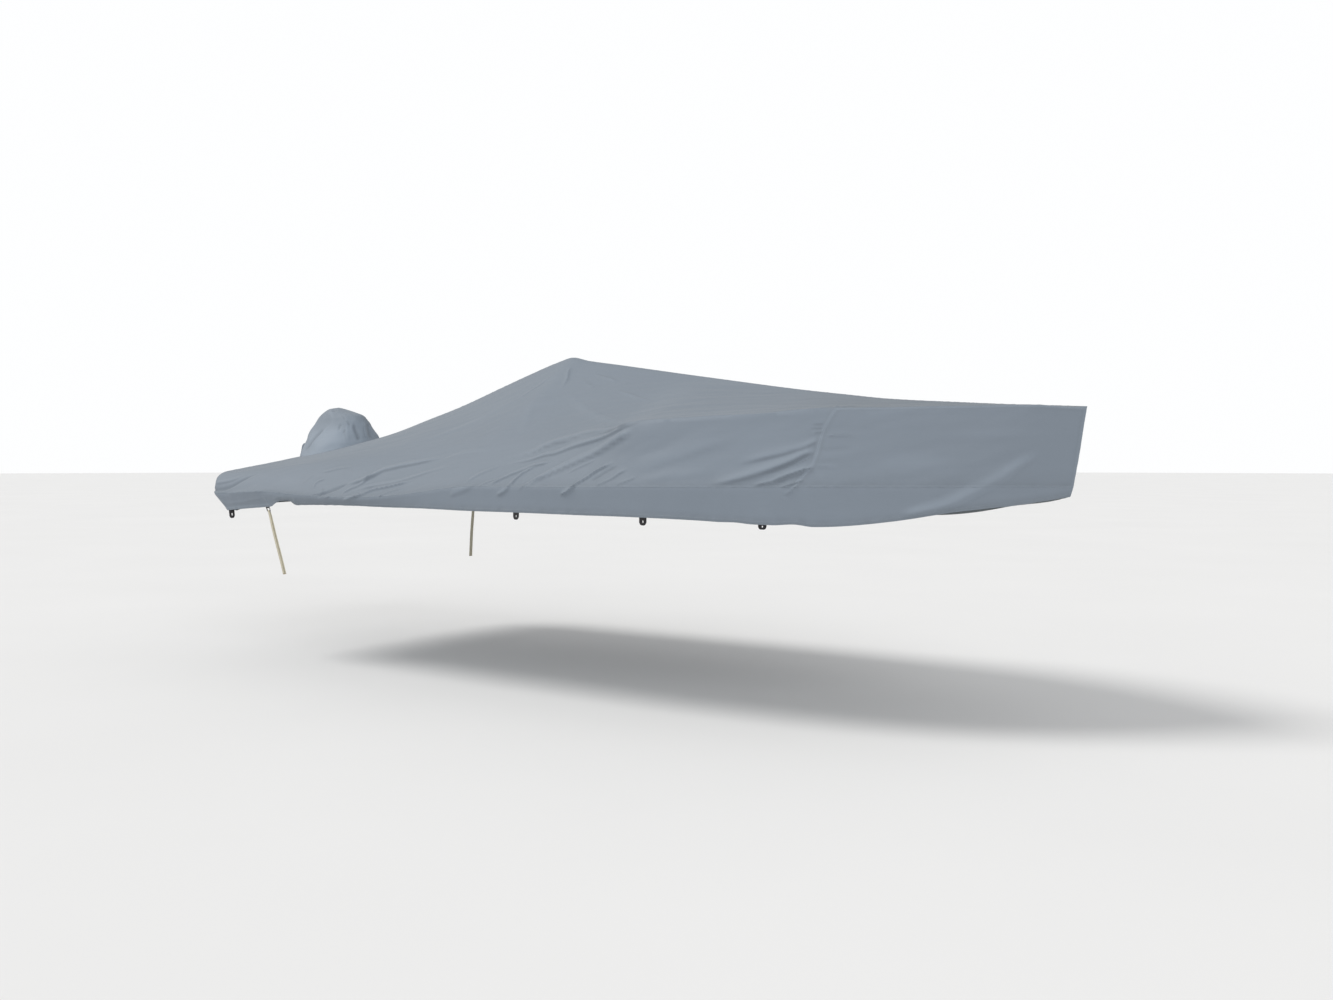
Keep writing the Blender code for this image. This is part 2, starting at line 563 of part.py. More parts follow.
def from_bmesh(bm, name):
    bmesh.ops.recalc_face_normals(bm, faces=bm.faces)
    me = bpy.data.meshes.new(name)
    bm.to_mesh(me)
    bm.free()
    return me


def hem_frame(at, span, side):
    """Frame on the hem: along it, outboard, and up the skirt, for a loop."""
    flip = np.array([1.0, -1.0, 1.0]) if side == "port" else np.ones(3)
    u = np.array([at - span, at + span])
    a, b = surface(u, hem_w(u, side), "starboard") * flip
    g = surface(np.array([at]), np.array([-float(widths(at)[2]) * .6]), "starboard")[0] * flip
    mid = (a + b) / 2
    along = (b - a) / np.linalg.norm(b - a)
    up = g - mid
    if at < .1:                                      # the stern corner's hangs upright, turned a little
        up = np.array([0.0, 0.0, 1.0])
        k = math.radians(STERN_TURN if side == "starboard" else -STERN_TURN)
        along = np.array([along[0] * math.cos(k) - along[1] * math.sin(k),
                          along[0] * math.sin(k) + along[1] * math.cos(k), along[2]])
    up -= along * (up @ along)
    up /= np.linalg.norm(up)
    out = np.cross(along, up)
    if out[1] * mid[1] < 0:
        out = -out
    return mid - ORIGIN, along, out, up


def webbing_loop(name, row, side, group):
    """Flat-folded webbing: two legs behind the hem, a run below, a slot between."""
    _, at, span, behind, legs, h, slot_w, slot_top, slot_foot = row
    mid, along, out, up = hem_frame(at, span, side)
    w, c = LOOP_W / 2, LOOP_CORNER
    outline = [(-w, legs), (-w, -h + c * 1.3), (-w + c * .35, -h + c * .45), (-w + c, -h),
               (w - c, -h), (w - c * .35, -h + c * .45), (w, -h + c * 1.3), (w, legs)]
    s = slot_w / 2
    slot = [(-s, -slot_foot), (-s, -slot_top), (s, -slot_top), (s, -slot_foot)]
    curve = bpy.data.curves.new(name, "CURVE")
    curve.dimensions = "2D"
    curve.fill_mode = "BOTH"
    curve.extrude = LOOP_T / 2
    for ring in (outline, slot):
        sp = curve.splines.new("POLY")
        sp.points.add(len(ring) - 1)
        for p, (x, y) in zip(sp.points, ring):
            p.co = (x, y, 0, 1)
        sp.use_cyclic_u = True
    ob = keep(name, curve, group, COLOURS["black"], .7)
    place = mid - out * (CLOTH + behind + LOOP_T / 2)
    z = np.cross(along, up)
    ob.matrix_world = Matrix(((along[0], up[0], z[0], place[0]), (along[1], up[1], z[1], place[1]),
                              (along[2], up[2], z[2], place[2]), (0, 0, 0, 1)))
    return ob


def strap(name, row, side, group):
    """One strip of webbing, threaded through its loop, both runs hanging."""
    _, at, span, behind, _, _, _, _, slot_foot = row
    mid, along, out, up = hem_frame(at, span, side)
    centre = mid - out * (CLOTH + behind + LOOP_T / 2)
    r = LOOP_T / 2 + .0006 + STRAP_T / 2
    bar = -slot_foot                                 # the strap turns over the loop's lower run
    inward = 1.0 if side == "starboard" else -1.0
    down = np.array([.10, .20 * inward, -1.0])
    down /= np.linalg.norm(down)
    path = []                                        # (point, width, sideways)
    steps = [(1.0, 1.0), (.8, .97), (.6, .93), (.42, .90), (.28, .86), (.14, .75)]
    low = centre + up * (bar - .020)
    for run, lean in ((1, -1), (-1, 1)):
        pts = []
        for s, fan in steps:
            pts.append((low + down * STRAP_LENGTH * s + out * run * r, STRAP_W, lean * STRAP_FAN * fan))
        pts.append((low + out * run * r, STRAP_W, lean * STRAP_FAN * .3))
        pts.append((centre + up * (bar - .006) + out * run * r, STRAP_NECK, 0.0))
        if run == 1:
            path += pts
            for a in (25, 90, 155):
                path.append((centre + up * (bar + r * math.sin(math.radians(a)) + .0008)
                             + out * r * math.cos(math.radians(a)), STRAP_NECK, 0.0))
        else:
            path += pts[::-1]
    pos = np.array([p + along * s for p, _, s in path])
    bm = bmesh.new()
    rings = []
    for i, (_, width, _) in enumerate(path):
        t = pos[min(i + 1, len(pos) - 1)] - pos[max(i - 1, 0)]
        t /= np.linalg.norm(t)
        n = np.cross(along, t)
        n /= np.linalg.norm(n)
        a = np.cross(t, n)
        ring = [bm.verts.new(pos[i] + a * width / 2 * sx + n * STRAP_T / 2 * sn)
                for sx, sn in ((-1, -1), (1, -1), (1, 1), (-1, 1))]
        rings.append(ring)
    for r0, r1 in zip(rings, rings[1:]):
        for k in range(4):
            bm.faces.new((r0[k], r0[(k + 1) % 4], r1[(k + 1) % 4], r1[k]))
    bm.faces.new(rings[0])
    bm.faces.new(rings[-1][::-1])
    keep(name, from_bmesh(bm, name), group, COLOURS["tan"], .75, smooth=False)


def hood_tab(rings, sheet, normal, group):
    """Small stiff tab that stands out from the hood's aft foot."""
    v = sheet.v
    column = [np.array(v[r[HOOD_SIDES // 2 - 3]]) for r in rings[:4]]
    size = [np.linalg.norm(b - a) for a, b in zip(column, column[1:])]
    lengths = np.concatenate([[0], np.cumsum(size)])

    def on(s):
        return np.array([np.interp(s, lengths, [c[k] for c in column]) for k in range(3)])

    whole = lengths[-1] / .52
    s0, s1 = TAB_FOOT * whole, TAB_TOP * whole
    out = column[1] - np.array([HOOD_X, 0, column[1][2]])
    out /= np.linalg.norm(out)
    side = np.cross(out, (0, 0, 1))
    side /= np.linalg.norm(side)
    prof = [on(s) for s in sorted([s0, s1, (s0 + s1) / 2] + [x for x in lengths if s0 < x < s1])]
    bm = bmesh.new()
    rows = []
    for i, p in enumerate(prof):
        reach = TAB_OUT if i < len(prof) - 1 else TAB_OUT * .75
        rows.append([bm.verts.new(p + out * a + side * b - ORIGIN)
                     for a, b in ((.0009, -.001), (reach, -.001), (reach, .001), (.0009, .001))])
    for r0, r1 in zip(rows, rows[1:]):
        for k in range(4):
            bm.faces.new((r0[k], r0[(k + 1) % 4], r1[(k + 1) % 4], r1[k]))
    bm.faces.new(rows[0])
    bm.faces.new(rows[-1][::-1])
    keep("hood_tab", from_bmesh(bm, "hood_tab"), group, COLOURS["cloth"], .8, smooth=False)


def main():
    for ob in list(bpy.data.objects):
        bpy.data.objects.remove(ob, do_unlink=True)
    group = bpy.data.collections.new("boat_cover")
    bpy.context.scene.collection.children.link(group)

    sheet, oval_ids, seam_ids = cover_sheet()
    rings = add_hood(sheet, oval_ids)
    add_stern(sheet, seam_ids)
    normal = sheet.normals()
    for name in sorted(set(sheet.names)):
        me = bpy.data.meshes.new(name)
        bm = sheet.panel(name, normal)
        bm.to_mesh(me)
        bm.free()
        keep(name, me, group, COLOURS["cloth"])
    hood_tab(rings, sheet, normal, group)
    for side in ("starboard", "port"):
        for row in LOOPS:
            webbing_loop("loop_%s_%s" % (row[0], side), row, side, group)
            if row[0] == "strap":
                strap("strap_" + side, row, side, group)


main()
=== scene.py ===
"""Fitted boat cover: how it looks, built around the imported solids.

Metres, +Z up, +X towards the bow, +Y to port. The origin is on the underside
of the cloth at the cover's peak. The cover's outer face is one surface over
(u, w): u runs along the boat, w along the cloth, in metres above the gunwale
seam. Tables give its sections and its folds; each panel is a thin sheet cut
from it along its seams, with folded seam edges, a hem and rows of stitches.
"""
import math

import bmesh
import bpy
import numpy as np
from mathutils import Matrix, Vector, kdtree
from mathutils.geometry import delaunay_2d_cdt


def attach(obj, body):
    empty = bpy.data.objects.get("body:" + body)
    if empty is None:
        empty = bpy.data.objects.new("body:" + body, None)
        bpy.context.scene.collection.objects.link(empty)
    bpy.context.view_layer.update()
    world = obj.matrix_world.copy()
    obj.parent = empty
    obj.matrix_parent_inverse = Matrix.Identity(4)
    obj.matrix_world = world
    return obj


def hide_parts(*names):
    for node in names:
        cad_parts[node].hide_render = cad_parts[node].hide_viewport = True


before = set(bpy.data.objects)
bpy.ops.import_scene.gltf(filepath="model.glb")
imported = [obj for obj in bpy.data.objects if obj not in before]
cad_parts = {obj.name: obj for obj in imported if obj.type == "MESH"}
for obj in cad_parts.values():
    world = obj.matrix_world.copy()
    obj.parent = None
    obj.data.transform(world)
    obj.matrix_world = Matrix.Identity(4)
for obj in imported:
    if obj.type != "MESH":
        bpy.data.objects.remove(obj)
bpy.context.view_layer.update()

# ------------------------------------------------------------ sizes (m)
CLOTH = 0.0020
PEAK_X, PEAK_Z = 2.640, 2.4063
ORIGIN = np.array([PEAK_X, 0.0, PEAK_Z - CLOTH])
RIDGE_ROUND = 0.050
FLOOR_Z = -(PEAK_Z - CLOTH)
FINE, COARSE = 0.0100, 0.0250     # mesh spacing on folds and elsewhere
EDGE = 0.0125                     # mesh spacing along seams
WELT, WELT_W = 0.0005, 0.0120     # rise and width of a folded seam edge
LAP = 0.0120                      # the skirt's tuck behind the gunwale seam
HEM_W, HEM_RISE, HEM_THICK = 0.0230, 0.0009, 0.0016      # hem: depth, rise and extra thickness

# -------------------------------------------------- camera, at the photo's angle
CAMERA_AT = (8.090, -7.015, 1.606)          # from the stern corner of the hem and the ground
CAMERA_YAW, CAMERA_DIP = 33.2, 1.89         # degrees
CAMERA_LENS = 31.06                         # mm on a 36 mm sensor

cam_data = bpy.data.cameras.new("camera")
cam_data.lens = CAMERA_LENS
cam_data.sensor_width = 36.0
cam_data.clip_start, cam_data.clip_end = 0.05, 500.0
cam = bpy.data.objects.new("camera", cam_data)
bpy.context.scene.collection.objects.link(cam)
cam.location = Vector(CAMERA_AT) - Vector(ORIGIN)
cam.rotation_euler = (math.radians(90 - CAMERA_DIP), 0.0, math.radians(CAMERA_YAW))
bpy.context.scene.camera = cam

# ------------------------------------------------------------ the sections
SECTION_COLS = ("name", "u", "ridge_x", "rail_x", "rail_y", "rail_z", "gun_x", "gun_y", "gun_z",
                "hem_x", "hem_y", "hem_z", "rail_r", "gun_r", "top_sag", "side_sag")
SECTIONS = [
    ("stern seam",   -0.38, -0.280, -0.262, -0.985, 1.527, -0.245, -1.045, 1.360, -0.052, -1.030, 1.208, .07, .03, .000, .000),
    ("stern corner", -0.22, -0.230, -0.215, -1.095, 1.514, -0.172, -1.165, 1.357, -0.022, -1.135, 1.213, .09, .03, .000, .000),
    ("aft quarter",   0.02, -0.060,  0.000, -1.095, 1.518,  0.010, -1.195, 1.353,  0.048, -1.160, 1.219, .10, .03, .000, .000),
    ("hood front",    0.50,  0.500,  0.500, -1.085, 1.552,  0.500, -1.228, 1.372,  0.500, -1.183, 1.252, .12, .03, .000, .000),
    ("aft cockpit",   1.00,  1.000,  1.000, -1.020, 1.598,  1.000, -1.249, 1.352,  1.000, -1.209, 1.279, .16, .03, .005, .000),
    ("cockpit",       1.50,  1.500,  1.500, -0.930, 1.645,  1.500, -1.261, 1.345,  1.500, -1.230, 1.286, .20, .03, .010, .002),
    ("mid cockpit",   2.05,  2.050,  2.050, -0.820, 1.715,  2.050, -1.264, 1.372,  2.050, -1.249, 1.281, .22, .02, .012, .006),
    ("peak",          2.64,  2.640,  2.640, -0.790, 1.800,  2.640, -1.258, 1.438,  2.640, -1.257, 1.276, .22, .02, .010, .010),
    ("fore console",  3.10,  3.100,  3.100, -0.870, 1.760,  3.100, -1.253, 1.443,  3.100, -1.255, 1.275, .22, .02, .012, .015),
    ("fan",           3.60,  3.600,  3.600, -1.000, 1.770,  3.600, -1.240, 1.447,  3.600, -1.237, 1.270, .14, .02, .012, .020),
    ("rail aft end",  4.00,  4.000,  4.000, -1.085, 1.852,  4.000, -1.216, 1.450,  4.000, -1.212, 1.264, .050, .02, .012, .015),
    ("fore deck",     4.45,  4.450,  4.450, -1.040, 1.878,  4.450, -1.155, 1.453,  4.450, -1.152, 1.254, .032, .02, .015, .010),
    ("rail mid",      4.85,  4.850,  4.850, -0.945, 1.900,  4.850, -1.055, 1.456,  4.850, -1.053, 1.235, .026, .02, .012, .005),
    ("rail post",     5.20,  5.200,  5.200, -0.820, 1.922,  5.200, -0.930, 1.458,  5.200, -0.930, 1.226, .026, .02, .010, .000),
    ("bow shoulder",  5.55,  5.550,  5.550, -0.655, 1.930,  5.550, -0.752, 1.459,  5.550, -0.757, 1.262, .04, .02, .006, .000),
    ("bow quarter",   5.85,  5.850,  5.850, -0.485, 1.935,  5.850, -0.560, 1.459,  5.850, -0.556, 1.316, .03, .02, .003, -.004),
    ("bow cheek",     6.15,  6.150,  6.150, -0.272, 1.938,  6.145, -0.315, 1.459,  6.140, -0.322, 1.355, .02, .02, .001, -.010),
    ("stem",          6.46,  6.452,  6.450,  0.000, 1.924,  6.378,  0.000, 1.452,  6.360,  0.000, 1.399, .01, .01, .000, -.012),
]
RIDGE = [(-0.30, 1.682), (0.00, 1.732), (0.50, 1.813), (0.77, 1.871), (1.12, 1.967), (1.47, 2.062),
         (1.90, 2.200), (2.21, 2.299), (2.50, 2.384), (2.64, 2.414), (2.80, 2.381), (3.08, 2.337),
         (3.74, 2.230), (4.11, 2.171), (4.58, 2.099), (4.91, 2.055), (5.22, 2.016), (5.62, 1.985),
         (6.18, 1.948), (6.46, 1.936)]
POST_SEAM = [(5.22, 1.00), (5.17, .76), (5.15, .56), (5.14, .42), (5.12, .27), (5.07, .12), (5.03, .00)]
# how far the hem is drawn up along the starboard side: (u, lift)
HEM_LIFT = [(-.38, 0), (.50, 0), (.585, .002), (.64, .022), (.72, .042), (.80, .044), (.845, .036),
            (.885, .008), (.93, 0), (1.8, 0), (2.3, .004), (2.8, 0), (3.6, 0), (4.0, .003), (4.6, .002),
            (4.70, .006), (4.80, .001), (4.92, .003), (5.04, .014), (5.14, .003), (5.35, .001), (5.6, 0), (6.46, 0)]

PORT_LIFT = 0.35
STERN_ARCH = 0.055                # the stern panel's hem stands this much higher amidships

# ------------------------------------------------------------ the folds
# line: points (u, w) from the fold's head to its tail; rise is the crest's
# height, negative for a trough; under and over are the half-widths of its foot
# on the lower and the upper side; head and tail are the shares of the length
# over which it grows and fades; crisp 0 is a round crest and 1 a sharp one
FOLD_COLS = ("name", "line", "rise", "under", "over", "head", "tail", "crisp")
STARBOARD_FOLDS = [
    # fan between the rail's aft end and the cockpit coaming
    ("fan 1",      ((3.99, .450), (3.85, .434), (3.71, .470), (3.545, .488), (3.425, .486), (3.33, .463), (3.228, .454), (3.11, .419), (3.02, .370), (2.80, .314)), .0200, .038, .090, .10, .36, .40),
    ("fan 2",      ((3.96, .420), (3.70, .400), (3.545, .384), (3.40, .366), (3.28, .333), (3.18, .328), (3.06, .290), (2.94, .272), (2.80, .222)), .0152, .032, .060, .10, .30, .28),
    ("fan 3",      ((3.98, .372), (3.72, .292), (3.52, .224), (3.38, .152), (3.28, .068), (3.20, -.020)), .0213, .041, .082, .12, .15, .28),
    ("fan 4",      ((3.70, .232), (3.56, .176), (3.46, .112)), .0050, .014, .024, .30, .30, .60),
    ("fan 5",      ((3.30, .262), (3.22, .236), (3.155, .226), (3.094, .196), (3.02, .150), (2.97, .102), (2.925, .051), (2.89, .008)), .0134, .025, .046, .20, .12, .40),
    ("fan 6",      ((3.19, .230), (3.122, .178), (3.084, .120), (3.078, .020), (3.045, -.026), (2.964, -.062)), .0118, .020, .034, .20, .10, .60),
    ("fan 7",      ((3.32, .105), (3.24, .043), (3.16, -.024)), .0062, .011, .022, .30, .15, .80),
    ("fan 8",      ((2.84, .240), (2.73, .150), (2.66, .045)), .0084, .031, .041, .30, .20, .28),
    ("fan 9",      ((2.80, .035), (2.70, -.012), (2.54, -.056)), .0073, .034, .046, .30, .20, .28),
    ("fan 10",     ((2.99, .130), (2.88, .060), (2.80, -.015)), .0055, .012, .022, .30, .25, .60),
    ("fan crest",  ((3.86, .182), (3.747, .132), (3.673, .075), (3.625, .029), (3.585, -.008), (3.497, -.058)), .0165, .016, .036, .22, .08, .85),
    ("fan dip",    ((3.90, .150), (3.811, .112), (3.76, .080), (3.70, .050)), -.0070, .020, .016, .25, .20, .40),
    ("fan crest 2", ((3.98, .125), (3.922, .098), (3.872, .061), (3.82, .033), (3.775, .010)), .0092, .012, .028, .25, .10, .75),
    ("fan crest 3", ((4.06, .078), (4.018, .054), (3.964, .034), (3.92, .010)), .0062, .011, .020, .30, .15, .70),
    ("rail end",   ((4.06, .462), (3.98, .440), (3.86, .405)), .0080, .030, .040, .40, .40, .30),
    ("rail drop",  ((3.98, .424), (4.20, .431), (4.49, .442), (4.74, .453), (4.97, .463), (5.185, .475)), .0065, .085, .026, .12, .06, .60),
    ("side edge",  ((4.66, .315), (4.36, .212), (4.20, .160), (4.07, .124), (3.96, .118)), .0050, .046, .110, .35, .30, .20),
    ("side swell", ((4.60, .110), (4.30, .070), (4.02, .045)), .0045, .040, .050, .40, .40, .00),
    # folds that the rail's post holds
    ("post",       ((5.225, .478), (5.165, .377), (5.146, .292), (5.140, .222), (5.120, .129), (5.070, .040), (5.020, -.034)), .0010, .040, .022, .10, .12, .30),
    ("post 1",     ((5.150, .298), (5.106, .266), (5.058, .244), (5.00, .227), (4.947, .210), (4.84, .186), (4.66, .140)), .0095, .030, .050, .10, .40, .35),
    ("post 2",     ((5.135, .222), (5.069, .198), (5.01, .166), (4.95, .140), (4.84, .097), (4.70, .052), (4.53, .014)), .0155, .034, .058, .08, .26, .35),
    ("post 2b",    ((5.115, .186), (5.07, .163), (5.02, .132)), .0052, .010, .018, .30, .40, .70),
    ("post 3",     ((5.135, .122), (5.06, .101), (4.97, .066), (4.90, .033), (4.79, .008)), .0140, .016, .036, .08, .20, .75),
    ("post 4",     ((5.095, .050), (5.04, .028), (4.96, .001)), .0070, .012, .022, .20, .25, .70),
    ("post 5",     ((5.060, .020), (5.02, -.020), (4.982, -.046)), .0072, .010, .018, .20, .15, .85),
    ("post dip",   ((5.11, .205), (4.98, .128), (4.82, .066)), -.0050, .018, .016, .20, .35, .30),
    ("post dip 2", ((5.10, .094), (5.00, .058), (4.90, .015)), -.0045, .014, .012, .20, .30, .30),
    ("tuck 1",     ((5.178, .386), (5.13, .386), (5.075, .389)), .0042, .008, .014, .25, .35, .60),
    ("tuck 2",     ((5.176, .361), (5.13, .361), (5.080, .360)), .0042, .008, .014, .25, .35, .60),
    ("tuck 3",     ((5.172, .334), (5.13, .332), (5.085, .327)), .0048, .009, .014, .25, .35, .60),
    ("crease 1",   ((5.180, .312), (5.25, .310), (5.350, .309)), .0048, .014, .009, .12, .45, .75),
    ("crease 2",   ((5.150, .124), (5.20, .123), (5.290, .127)), .0040, .012, .009, .15, .45, .70),
    ("crease 3",   ((5.140, .228), (5.23, .227), (5.360, .232)), -.0034, .022, .016, .20, .50, .40),
    ("crease 4",   ((5.130, .156), (5.20, .157), (5.320, .163)), -.0030, .018, .014, .20, .50, .40),
    ("post top a", ((5.232, .486), (5.15, .610), (5.03, .810)), .0070, .020, .026, .10, .60, .50),
    ("post top b", ((5.236, .486), (5.29, .580), (5.35, .690)), .0050, .018, .018, .10, .60, .50),
    # the bow's side
    ("bow tension", ((6.27, .228), (6.16, .141), (6.06, .052), (5.93, -.033), (5.83, -.091), (5.70, -.136), (5.57, -.168)), .0235, .052, .062, .22, .14, .34),
    ("bow pocket", ((5.95, -.112), (5.84, -.134), (5.74, -.150)), -.0040, .020, .024, .30, .30, .20),
    ("bow swell",  ((5.92, .100), (5.65, .130), (5.38, .125)), .0060, .090, .100, .40, .40, .00),
    ("bow draw",   ((6.30, .330), (6.00, .300), (5.70, .285)), .0035, .040, .050, .40, .50, .10),
    # the aft quarter
    ("aft crest",  ((2.10, .172), (1.95, .122), (1.824, .094), (1.752, .078), (1.697, .040), (1.615, .009), (1.47, -.026)), .0170, .020, .046, .20, .10, .65),
    ("aft crest 2", ((2.05, .080), (1.93, .040), (1.86, -.004)), .0090, .015, .030, .25, .12, .70),
    ("aft fold 1", ((2.22, .440), (1.98, .382), (1.835, .350), (1.74, .322), (1.668, .292), (1.60, .215), (1.50, .168), (1.38, .134)), .0185, .038, .072, .25, .18, .28),
    ("aft fold 1b", ((1.66, .255), (1.596, .214), (1.557, .136), (1.49, .090), (1.44, .028)), .0110, .024, .040, .25, .15, .50),
    ("aft draw",   ((1.36, .335), (1.22, .300), (1.13, .262), (1.05, .244)), .0085, .024, .040, .30, .20, .50),
    ("aft fold 2", ((2.40, .299), (2.14, .235), (1.94, .170), (1.74, .133), (1.52, .072)), .0134, .034, .055, .35, .20, .28),
    ("aft fold 3", ((2.66, .420), (2.38, .420), (2.14, .401)), .0067, .044, .067, .40, .40, .28),
    ("aft pocket", ((1.43, .155), (1.30, .063), (1.17, -.011)), -.0120, .030, .030, .20, .20, .30),
    ("curl 1",     ((1.17, .181), (1.085, .138), (1.100, .066)), .0075, .014, .024, .30, .25, .70),
    ("curl 2",     ((1.28, .072), (1.20, .034), (1.12, .014)), .0062, .011, .020, .30, .20, .75),
    ("curl 3",     ((1.35, .021), (1.31, .002), (1.26, -.013)), .0052, .010, .018, .30, .25, .75),
    ("curl 4",     ((1.17, .095), (1.22, .046), (1.24, -.009)), .0046, .012, .012, .30, .25, .60),
    ("curl 5",     ((1.02, .232), (.96, .179), (.93, .107)), .0040, .016, .024, .40, .30, .40),
    ("gunwale roll", ((2.30, .006), (2.05, -.004), (1.75, -.009), (1.40, -.006), (1.10, .002), (.84, .015)), .0015, .026, .046, .20, .20, .10),
    # the stern corner and the hem
    ("stern corner", ((.34, .205), (.262, .172), (.182, .121), (.095, .066), (-.015, .036), (-.125, .026), (-.33, .016)), -.0120, .026, .034, .25, .20, .35),
    ("corner crest", ((.20, .190), (.06, .130), (-.10, .100), (-.26, .085)), .0080, .026, .046, .30, .30, .30),
    ("corner low",  ((.62, .012), (.44, .005), (.30, .003), (.15, .001), (.00, -.010)), .0060, .026, .034, .30, .30, .30),
    ("hem pull a", ((.50, -.030), (.55, -.067), (.57, -.112)), .0060, .016, .022, .50, .06, .60),
    ("hem pull b", ((.93, -.013), (.905, -.050), (.90, -.083)), .0050, .018, .014, .50, .06, .60),
    ("hem arch",   ((.60, -.070), (.72, -.034), (.86, -.035)), .0050, .018, .020, .30, .30, .40),
    ("band edge",  ((.60, -.040), (.40, -.062), (.22, -.082), (-.18, -.094)), .0030, .012, .022, .20, .30, .60),
    # about the peak
    ("peak 1",     ((2.69, 1.470), (2.71, 1.400), (2.75, 1.300), (2.78, 1.170)), .0065, .022, .028, .20, .50, .55),
    ("peak 2",     ((2.93, 1.400), (3.08, 1.352), (3.26, 1.288)), .0048, .016, .030, .30, .45, .60),
    ("peak 3",     ((3.22, 1.196), (3.45, 1.110), (3.72, .995)), .0048, .020, .036, .35, .50, .50),
    ("peak 4",     ((2.86, 1.330), (3.00, 1.240), (3.12, 1.130)), .0035, .016, .024, .30, .50, .50),
    ("peak 5",     ((2.58, 1.383), (2.50, 1.248), (2.38, 1.075)), .0045, .026, .030, .30, .50, .30),
    ("stay 1",     ((2.80, 1.180), (3.30, .820), (3.86, .560)), .0050, .050, .070, .40, .35, .10),
    ("stay 2",     ((2.50, 1.168), (2.10, .931), (1.60, .641)), .0050, .060, .070, .40, .40, .10),
    ("stay 3",     ((2.60, 1.082), (2.70, .800), (2.80, .560)), .0035, .050, .060, .40, .40, .05),
    ("deck 1",     ((4.20, .900), (3.80, .820), (3.40, .760)), .0035, .040, .060, .40, .50, .10),
    ("deck 2",     ((5.10, .800), (4.70, .860), (4.25, .940)), .0030, .040, .050, .40, .50, .10),
    ("hood lead",  ((.48, 1.020), (.74, .895), (1.10, .734)), .0050, .036, .050, .25, .50, .20),
]
PORT_FOLDS = [
    ("fan 1",      ((3.95, .440), (3.62, .430), (3.30, .365), (3.00, .290)), .0185, .048, .089, .12, .35, .28),
    ("fan 2",      ((3.90, .345), (3.66, .262), (3.46, .170), (3.34, .080), (3.27, -.026)), .0196, .041, .074, .12, .15, .28),
    ("fan 3",      ((3.55, .340), (3.30, .270), (3.12, .180), (3.02, .070)), .0134, .034, .055, .20, .20, .28),
    ("fan crest",  ((3.70, .170), (3.56, .112), (3.42, .040), (3.29, -.046)), .0145, .016, .034, .22, .10, .80),
    ("fan crest 2", ((3.88, .120), (3.76, .068), (3.66, .004)), .0080, .012, .026, .25, .12, .75),
    ("fan dip",    ((3.74, .132), (3.60, .070), (3.50, .006)), -.0060, .018, .016, .25, .20, .40),
    ("fan 4",      ((2.96, .200), (2.84, .110), (2.76, .005)), .0080, .016, .032, .30, .20, .60),
    ("rail drop",  ((4.00, .424), (4.22, .431), (4.49, .442), (4.74, .453), (4.97, .463), (5.185, .475)), .0065, .085, .026, .12, .06, .60),
    ("side edge",  ((4.60, .260), (4.34, .175), (4.10, .118), (3.94, .108)), .0050, .046, .100, .35, .30, .20),
    ("post",       ((5.225, .478), (5.165, .377), (5.146, .292), (5.140, .222), (5.120, .129), (5.070, .040), (5.020, -.034)), .0010, .040, .022, .10, .12, .30),
    ("post 1",     ((5.14, .262), (5.00, .204), (4.84, .140), (4.64, .052)), .0185, .036, .060, .10, .25, .28),
    ("post 2",     ((5.13, .160), (5.02, .112), (4.90, .052), (4.78, .006)), .0134, .027, .041, .10, .20, .28),
    ("post 3",     ((5.08, .050), (5.02, .016), (4.94, -.030)), .0065, .012, .020, .20, .15, .80),
    ("tuck 1",     ((5.175, .392), (5.12, .394), (5.06, .402)), .0044, .009, .014, .25, .35, .60),
    ("tuck 2",     ((5.170, .350), (5.12, .347), (5.07, .340)), .0044, .009, .014, .25, .35, .60),
    ("crease 1",   ((5.180, .300), (5.26, .305), (5.37, .300)), .0046, .014, .009, .12, .45, .75),
    ("bow tension", ((6.24, .190), (6.10, .080), (5.94, -.032), (5.78, -.108), (5.60, -.154)), .0246, .068, .065, .22, .14, .28),
    ("bow swell",  ((5.90, .120), (5.62, .110), (5.38, .140)), .0060, .090, .100, .40, .40, .00),
    ("aft crest",  ((2.16, .183), (2.00, .120), (1.84, .053), (1.58, -.019)), .0170, .022, .048, .20, .10, .65),
    ("aft fold 1", ((2.12, .380), (1.88, .299), (1.68, .248), (1.50, .170), (1.38, .070)), .0157, .041, .072, .30, .20, .28),
    ("aft fold 2", ((2.46, .310), (2.24, .243), (2.06, .223), (1.86, .157)), .0112, .034, .053, .35, .25, .28),
    ("aft curl",   ((1.30, .128), (1.22, .066), (1.24, .001)), .0062, .013, .020, .30, .25, .70),
    ("aft curl 2", ((1.44, .061), (1.36, .021), (1.28, .008)), .0055, .012, .018, .30, .25, .70),
    ("stern corner", ((.44, .146), (.30, .104), (.16, .074), (.00, .036), (-.20, .024)), -.0120, .026, .034, .25, .20, .35),
    ("hem pull a", ((.52, -.033), (.55, -.069), (.56, -.112)), .0055, .018, .018, .50, .06, .60),
    ("peak 1",     ((2.66, 1.450), (2.62, 1.331), (2.60, 1.182)), .0060, .024, .026, .20, .50, .50),
    ("peak 2",     ((2.90, 1.380), (3.10, 1.290), (3.34, 1.200)), .0048, .018, .030, .30, .45, .55),
    ("stay 1",     ((2.82, 1.140), (3.26, .830), (3.80, .580)), .0050, .050, .070, .40, .35, .10),
    ("stay 2",     ((2.46, 1.130), (2.04, .904), (1.52, .662)), .0050, .060, .070, .40, .40, .10),
    ("deck 1",     ((5.00, .860), (4.50, .900), (4.00, .960)), .0035, .040, .060, .40, .50, .10),
    ("hood lead",  ((.50, 1.010), (.80, .879), (1.20, .756)), .0045, .036, .050, .25, .50, .20),
]
